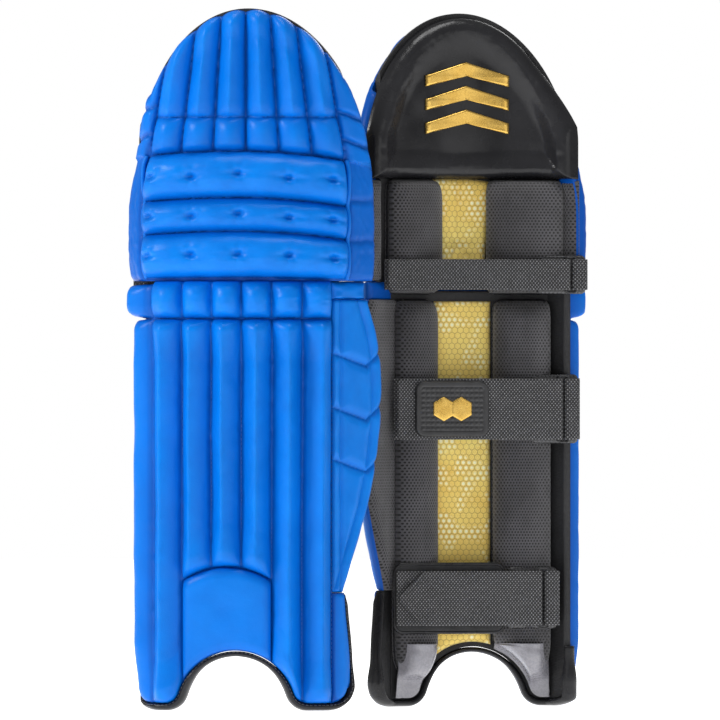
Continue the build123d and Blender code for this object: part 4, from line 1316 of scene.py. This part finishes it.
# body, first and last angle, lowest and highest z, length of the rounded lower end, seed
bolsters = {}
for side, reach, seed in (
    ("calf_bolster_inner", (INNER_SEAM + 0.6, angle_at(LINER_X[0], CUSHION_RADIUS)), 111),
    ("calf_bolster_outer", (angle_at(LINER_X[1], CUSHION_RADIUS), OUTER_SEAM - 1.2), 121),
    ("knee_bolster_inner", (KNEE_INNER + 0.6, angle_at(-20, CUSHION_RADIUS)), 131),
    ("knee_bolster_outer", (angle_at(34, CUSHION_RADIUS), KNEE_OUTER - 2), 141),
):
    if side.startswith("calf"):
        bolsters[side] = ("shin", *reach, 34.0, 411.0, 34, seed)
    else:
        bolsters[side] = ("knee", *reach, 419.0, 533.4, 10, seed)
for key, (body, *shape) in bolsters.items():
    cushion, piping = bolster(key, *shape)
    put(key + "_cushion", cushion, "mesh", body, [key])
    put(key + "_piping", piping, "black", body)

put("knee_side_lining", side_lining(), "mesh", "knee", ())
panel, panel_grid = top_pad()
put("top_panel", panel, "black", "knee", ["top_pad"])
put("leg_liner", liner(), "gold", "shin", ["shin_liner"])
put("knee_patch", knee_patch(), "gold", "knee", ["knee_cup"])


def on_top_panel(x, z, rise):
    """Point on the top panel's face at x and z, raised from it."""
    gap = (panel_grid[..., 0] - x) ** 2 + (panel_grid[..., 2] - z) ** 2
    r, c = np.unravel_index(np.argmin(gap), gap.shape)
    return [x, panel_grid[r, c, 1] + rise, z]


CREST_X = 4.0
crest_low = [(-44, -9), (-22, -3), (0, 4), (22, -3), (44, -9)]
crest_high = [(44, 2), (22, 9), (0, 16), (-22, 9), (-44, 2)]
crest = []
for level in (589.0, 613.0, 637.0):
    outline = subdivide([(CREST_X + x, level + z) for x, z in crest_low + crest_high], lambda length: 4)
    crest.append(emblem(outline, on_top_panel, 2.6, 0.2))
put("top_emblem", mesh_of("top_emblem", *crest), "emblem", "knee")


def smoothed(values, axis):
    """Grid smoothed along one axis."""
    kernel = np.hanning(9) / np.hanning(9).sum()

    def smooth(line):
        return np.convolve(np.pad(line, 4, "edge"), kernel, "valid")

    return np.apply_along_axis(smooth, axis, values)


def film():
    """Clear patches over the lower ends of the calf bolsters."""
    parts = []
    for key in ("calf_bolster_inner", "calf_bolster_outer"):
        _, start, end, low, *_ = bolsters[key]
        angle = np.linspace(start - 0.3, end + 0.3, 44)
        x, _ = arc_point(angle, CUSHION_RADIUS)
        foot = foot_low(x, BINDING + 0.8)
        z = foot + np.linspace(0, 1, 44)[:, None] * (64.0 - foot)
        angle = np.broadcast_to(angle, z.shape)
        middle, half = (start + end) / 2, (end - start) / 2
        t = np.clip(np.abs(angle - middle) / half, 0, 1)
        under = crown_height(middle) * 1.05 * (1 - t**3.2) ** (1 / 1.9)
        under = under * rounded(z - bolster_floor(angle, low), 24, 2.3)
        slack = 3.4 + 1.5 * step(z, foot, foot + 16) + 0.5 * noise(angle / 3, z / 9, 151)
        spread = np.zeros(z.shape)
        for da in (-2, -1, 0, 1, 2):
            for dz in (-4, -2, 0, 2, 4):
                moved = np.roll(np.roll(under, da, 1), dz, 0)
                spread = np.maximum(spread, moved * (abs(da) + abs(dz) < 6))
        spread[:6], spread[-6:] = under[:6], under[-6:]
        spread[:, :3], spread[:, -3:] = under[:, :3], under[:, -3:]
        for axis in (0, 1, 0, 1):
            spread = smoothed(spread, axis)
        depth = np.maximum(spread, under) + slack
        front = arc_grid(angle, CUSHION_RADIUS - depth - 0.8, z)
        back = arc_grid(angle, CUSHION_RADIUS - depth, z)
        parts.append(shell_arrays(front, back, (np.radians(angle) * CUSHION_RADIUS, z), 0.5))
    return mesh_of("lobe_film", *parts)


put("lobe_film", film(), "film", "shin", ["wear_patches"])

backing = rounded_plate(*BACKING_BOX, CROWN + 0.4, CROWN + 4.0, 9.0, 3.0)
backing_mesh = mesh_of("strap_backing_pad", backing)
put("strap_backing_pad", backing_mesh, "neoprene", "shin", ["strap_backing"])
left, right, bottom, top = BACKING_BOX
rim_path = []
corners = ((right, top), (left, top), (left, bottom), (right, bottom))
for quarter, (corner_x, corner_z) in enumerate(corners):
    cx = corner_x - 9 if corner_x == right else corner_x + 9
    cz = corner_z - 9 if corner_z == top else corner_z + 9
    for a in np.radians(np.linspace(90 * quarter, 90 * quarter + 90, 9)):
        rim_path.append((cx + 8.2 * math.cos(a), CROWN + 2.2, cz + 8.2 * math.sin(a)))
rim_path = subdivide(rim_path, lambda length: max(int(length / 4), 1))
rim_mesh = mesh_of("strap_backing_piping", tube_arrays(rim_path, 2.0, 8, True))
put("strap_backing_piping", rim_mesh, "black", "shin")


def put_parts(name, parts, look, body, nodes=()):
    put(name, mesh_of(name, *parts), look, body, nodes)


bases, tabs, patches, seams = {}, {}, {}, {}
for key in STRAPS:
    body = "knee" if key == "top" else "shin"
    tail, base, tab, patch, tab_stitches, free = strap_meshes(STRAPS[key])
    put_parts(f"{key}_strap", [tail], "webbing", f"{key}_tail", [f"{key}_tail"])
    put_parts(f"{key}_strap_stitches", free, "dark_thread", f"{key}_tail")
    for store, parts in ((bases, [base]), (tabs, [tab]), (patches, [patch]), (seams, tab_stitches)):
        store.setdefault(body, []).extend(parts)
strap_nodes = {
    "shin": ("shin_strap_bases", "shin_ring_tabs"),
    "knee": ("top_strap_base", "top_ring_tab"),
}
for body, (base_node, tab_node) in strap_nodes.items():
    put_parts(f"{body}_strap_runs", bases[body], "webbing", body, [base_node])
    put_parts(f"{body}_tab_loops", tabs[body], "webbing", body, [tab_node])
    put_parts(f"{body}_anchor_patches", patches[body], "patch", body)
    put_parts(f"{body}_tab_stitches", seams[body], "dark_thread", body)

middle = STRAPS["middle"]
badge_y = strap_y(middle) + WRAP + 1.1 + 0.5
badge_box = (BADGE_X - 38, BADGE_X + 38, middle["z"] - 28, middle["z"] + 28)
plate = rounded_plate(*badge_box, badge_y, badge_y + 3.6, BADGE_CORNER, 1.6, 0.7, pyramids)
put_parts("badge_plate", [plate], "badge", "middle_tail", ["badge"])
mark = []
for shift in (-9.0, 9.0):
    outline = hexagon_outline(BADGE_X + shift, middle["z"], 12.5)
    mark.append(emblem(outline, lambda x, z, rise: [x, badge_y + 2.9 + rise, z], 1.6))
put_parts("badge_mark", mark, "emblem", "middle_tail")


def seam_stitches():
    """Thread along the shin's seams, the instep panel's top and the wing's chevrons."""
    shin_lines, wing_lines, knee_lines = [], [], []
    for k in range(FRONT_RIBS + 1):
        covered = 1 <= k <= 4
        s = k * RIB_WIDTH
        x, _ = section(s, 0, *SHIN)
        low = PANEL_TOP + 4 if covered else float(foot_low(x, BINDING)) + 6
        z = np.arange(low, RIB_TOP - 4, 3.0)
        sway = 0.7 * noise(s / 60, z / 70, 11)
        x, y = section(s - sway, 1.1, *SHIN)
        a = math.radians(INNER_SEAM) + s / FRONT_RADIUS
        line = np.stack([x, y, z], -1)
        shin_lines.append(stitch_arrays(line, [math.sin(a), -math.cos(a), 0]))
    s = np.linspace(RIB_WIDTH + 3, 4 * RIB_WIDTH - 3, 40)
    x, y = section(s, 5.6, *SHIN)
    line = np.stack([x, y, panel_edge(s) - 4.2], -1)
    shin_lines.append(stitch_arrays(line, [0, -1, 0], 4.2, 2.6, 0.35))
    for start in CHEVRONS:
        u = np.linspace(18, WING_FOLD + 18, 50)
        z = chevron(start, u)
        keep = u < wing_edge(z) - 5
        x, y = section(FRONT_LENGTH + u[keep], -0.9, *SHIN)
        a = math.radians(WING_TURN)
        line = np.stack([x, y, z[keep]], -1)
        wing_lines.append(stitch_arrays(line, [math.sin(a), -math.cos(a), 0], 4.0, 2.8))
    s = np.linspace(8, KNEE_LENGTH - 8, 90)
    for seam in roll_seams(s):
        x, y = section(s, 1.3, *KNEE)
        knee_lines.append(stitch_arrays(np.stack([x, y, seam], -1), [0, -1, 0], 4.4, 3.0))
    return {"shin": shin_lines, "wing": wing_lines, "knee": knee_lines}


for body, lines in seam_stitches().items():
    put_parts(f"{body}_stitches", lines, "blue_thread", body)


def knee_piping():
    """Cords up both ends of the knee rolls."""
    parts = []
    for end, direction in ((0.0, 1), (KNEE_LENGTH, -1)):
        seams = [float(np.asarray(q)) for q in roll_seams(np.array(end))]
        z = np.linspace(seams[0], seams[3], 80)
        bulge = np.zeros(80)
        for low, high in zip(seams[:-1], seams[1:]):
            q = np.clip(np.abs(z - (low + high) / 2) / ((high - low) / 2), 0, 1)
            bulge = np.maximum(bulge, np.sqrt(1 - q * q) * (z >= low) * (z <= high))
        bulge = np.convolve(np.pad(bulge, 3, "edge"), np.ones(7) / 7, "valid")
        x, y = section(end - direction * (1.0 + 0 * z), 4.0 + 5.5 * bulge, *KNEE)
        parts.append(tube_arrays(np.stack([x, y, z], -1), 2.2, 10))
    return mesh_of("knee_piping", *parts)


put("knee_piping", knee_piping(), "blue", "knee")

cad_looks = {"knee_board": "board", "shin_canes": "cane", "shin_rings": "ring", "top_ring": "ring"}
for pad in PADS:
    for node, look in cad_looks.items():
        shown = frame["nodes"][f"{pad}_{node}"]
        for place in shown.material_slots:
            place.material = LOOKS[look]

# --- floor, light and camera -------------------------------------------------------------
scene = bpy.context.scene
scene.view_settings.view_transform = "Standard"
floor_mesh = bpy.data.meshes.new("floor")
floor_mesh.from_pydata([(-9, -9, 0), (9, -9, 0), (9, 9, 0), (-9, 9, 0)], [], [(0, 1, 2, 3)])
floor = bpy.data.objects.new("floor", floor_mesh)
bpy.context.collection.objects.link(floor)
floor_look = bpy.data.materials.new("floor")
floor_look.use_nodes = True
floor_shader = floor_look.node_tree.nodes["Principled BSDF"]
floor_shader.inputs["Base Color"].default_value = rgb(0.9, 0.9, 0.9)
floor_shader.inputs["Roughness"].default_value = 0.9
floor_shader.inputs["Emission Color"].default_value = rgb(1, 1, 1)
floor_shader.inputs["Emission Strength"].default_value = 1.0
floor_mesh.materials.append(floor_look)

world = bpy.data.worlds.new("studio")
scene.world = world
world.use_nodes = True
nodes, links = world.node_tree.nodes, world.node_tree.links
ambient = nodes["Background"]
ambient.inputs[0].default_value = rgb(1, 1, 1)
ambient.inputs[1].default_value = 0.30
backdrop = nodes.new("ShaderNodeBackground")
backdrop.inputs[0].default_value = rgb(1, 1, 1)
backdrop.inputs[1].default_value = 1.0
chooser = nodes.new("ShaderNodeMixShader")
ray = nodes.new("ShaderNodeLightPath")
links.new(ray.outputs["Is Camera Ray"], chooser.inputs[0])
links.new(ambient.outputs[0], chooser.inputs[1])
links.new(backdrop.outputs[0], chooser.inputs[2])
links.new(chooser.outputs[0], nodes["World Output"].inputs[0])

middle_point = Vector((0, 0, 0.35))
for name, place, size, power in (
    ("key", (-2.7, -1.3, 2.0), 0.8, 58),
    ("fill", (2.2, -2.8, 1.0), 1.2, 5),
    ("top", (0.1, -0.3, 2.6), 1.0, 24),
    ("back", (0.8, 2.6, 1.6), 1.5, 26),
):
    lamp = bpy.data.lights.new(name, "AREA")
    lamp.size = size
    lamp.energy = power
    light = bpy.data.objects.new(name, lamp)
    light.location = place
    light.rotation_euler = (middle_point - Vector(place)).to_track_quat("-Z", "Y").to_euler()
    bpy.context.collection.objects.link(light)

camera_data = bpy.data.cameras.new("camera")
camera_data.lens = 600
camera_data.sensor_width = 36
camera = bpy.data.objects.new("camera", camera_data)
camera.location = (-0.0015, -12.1, 0.351)
camera.rotation_euler = (math.radians(90), 0, 0)
bpy.context.collection.objects.link(camera)
scene.camera = camera
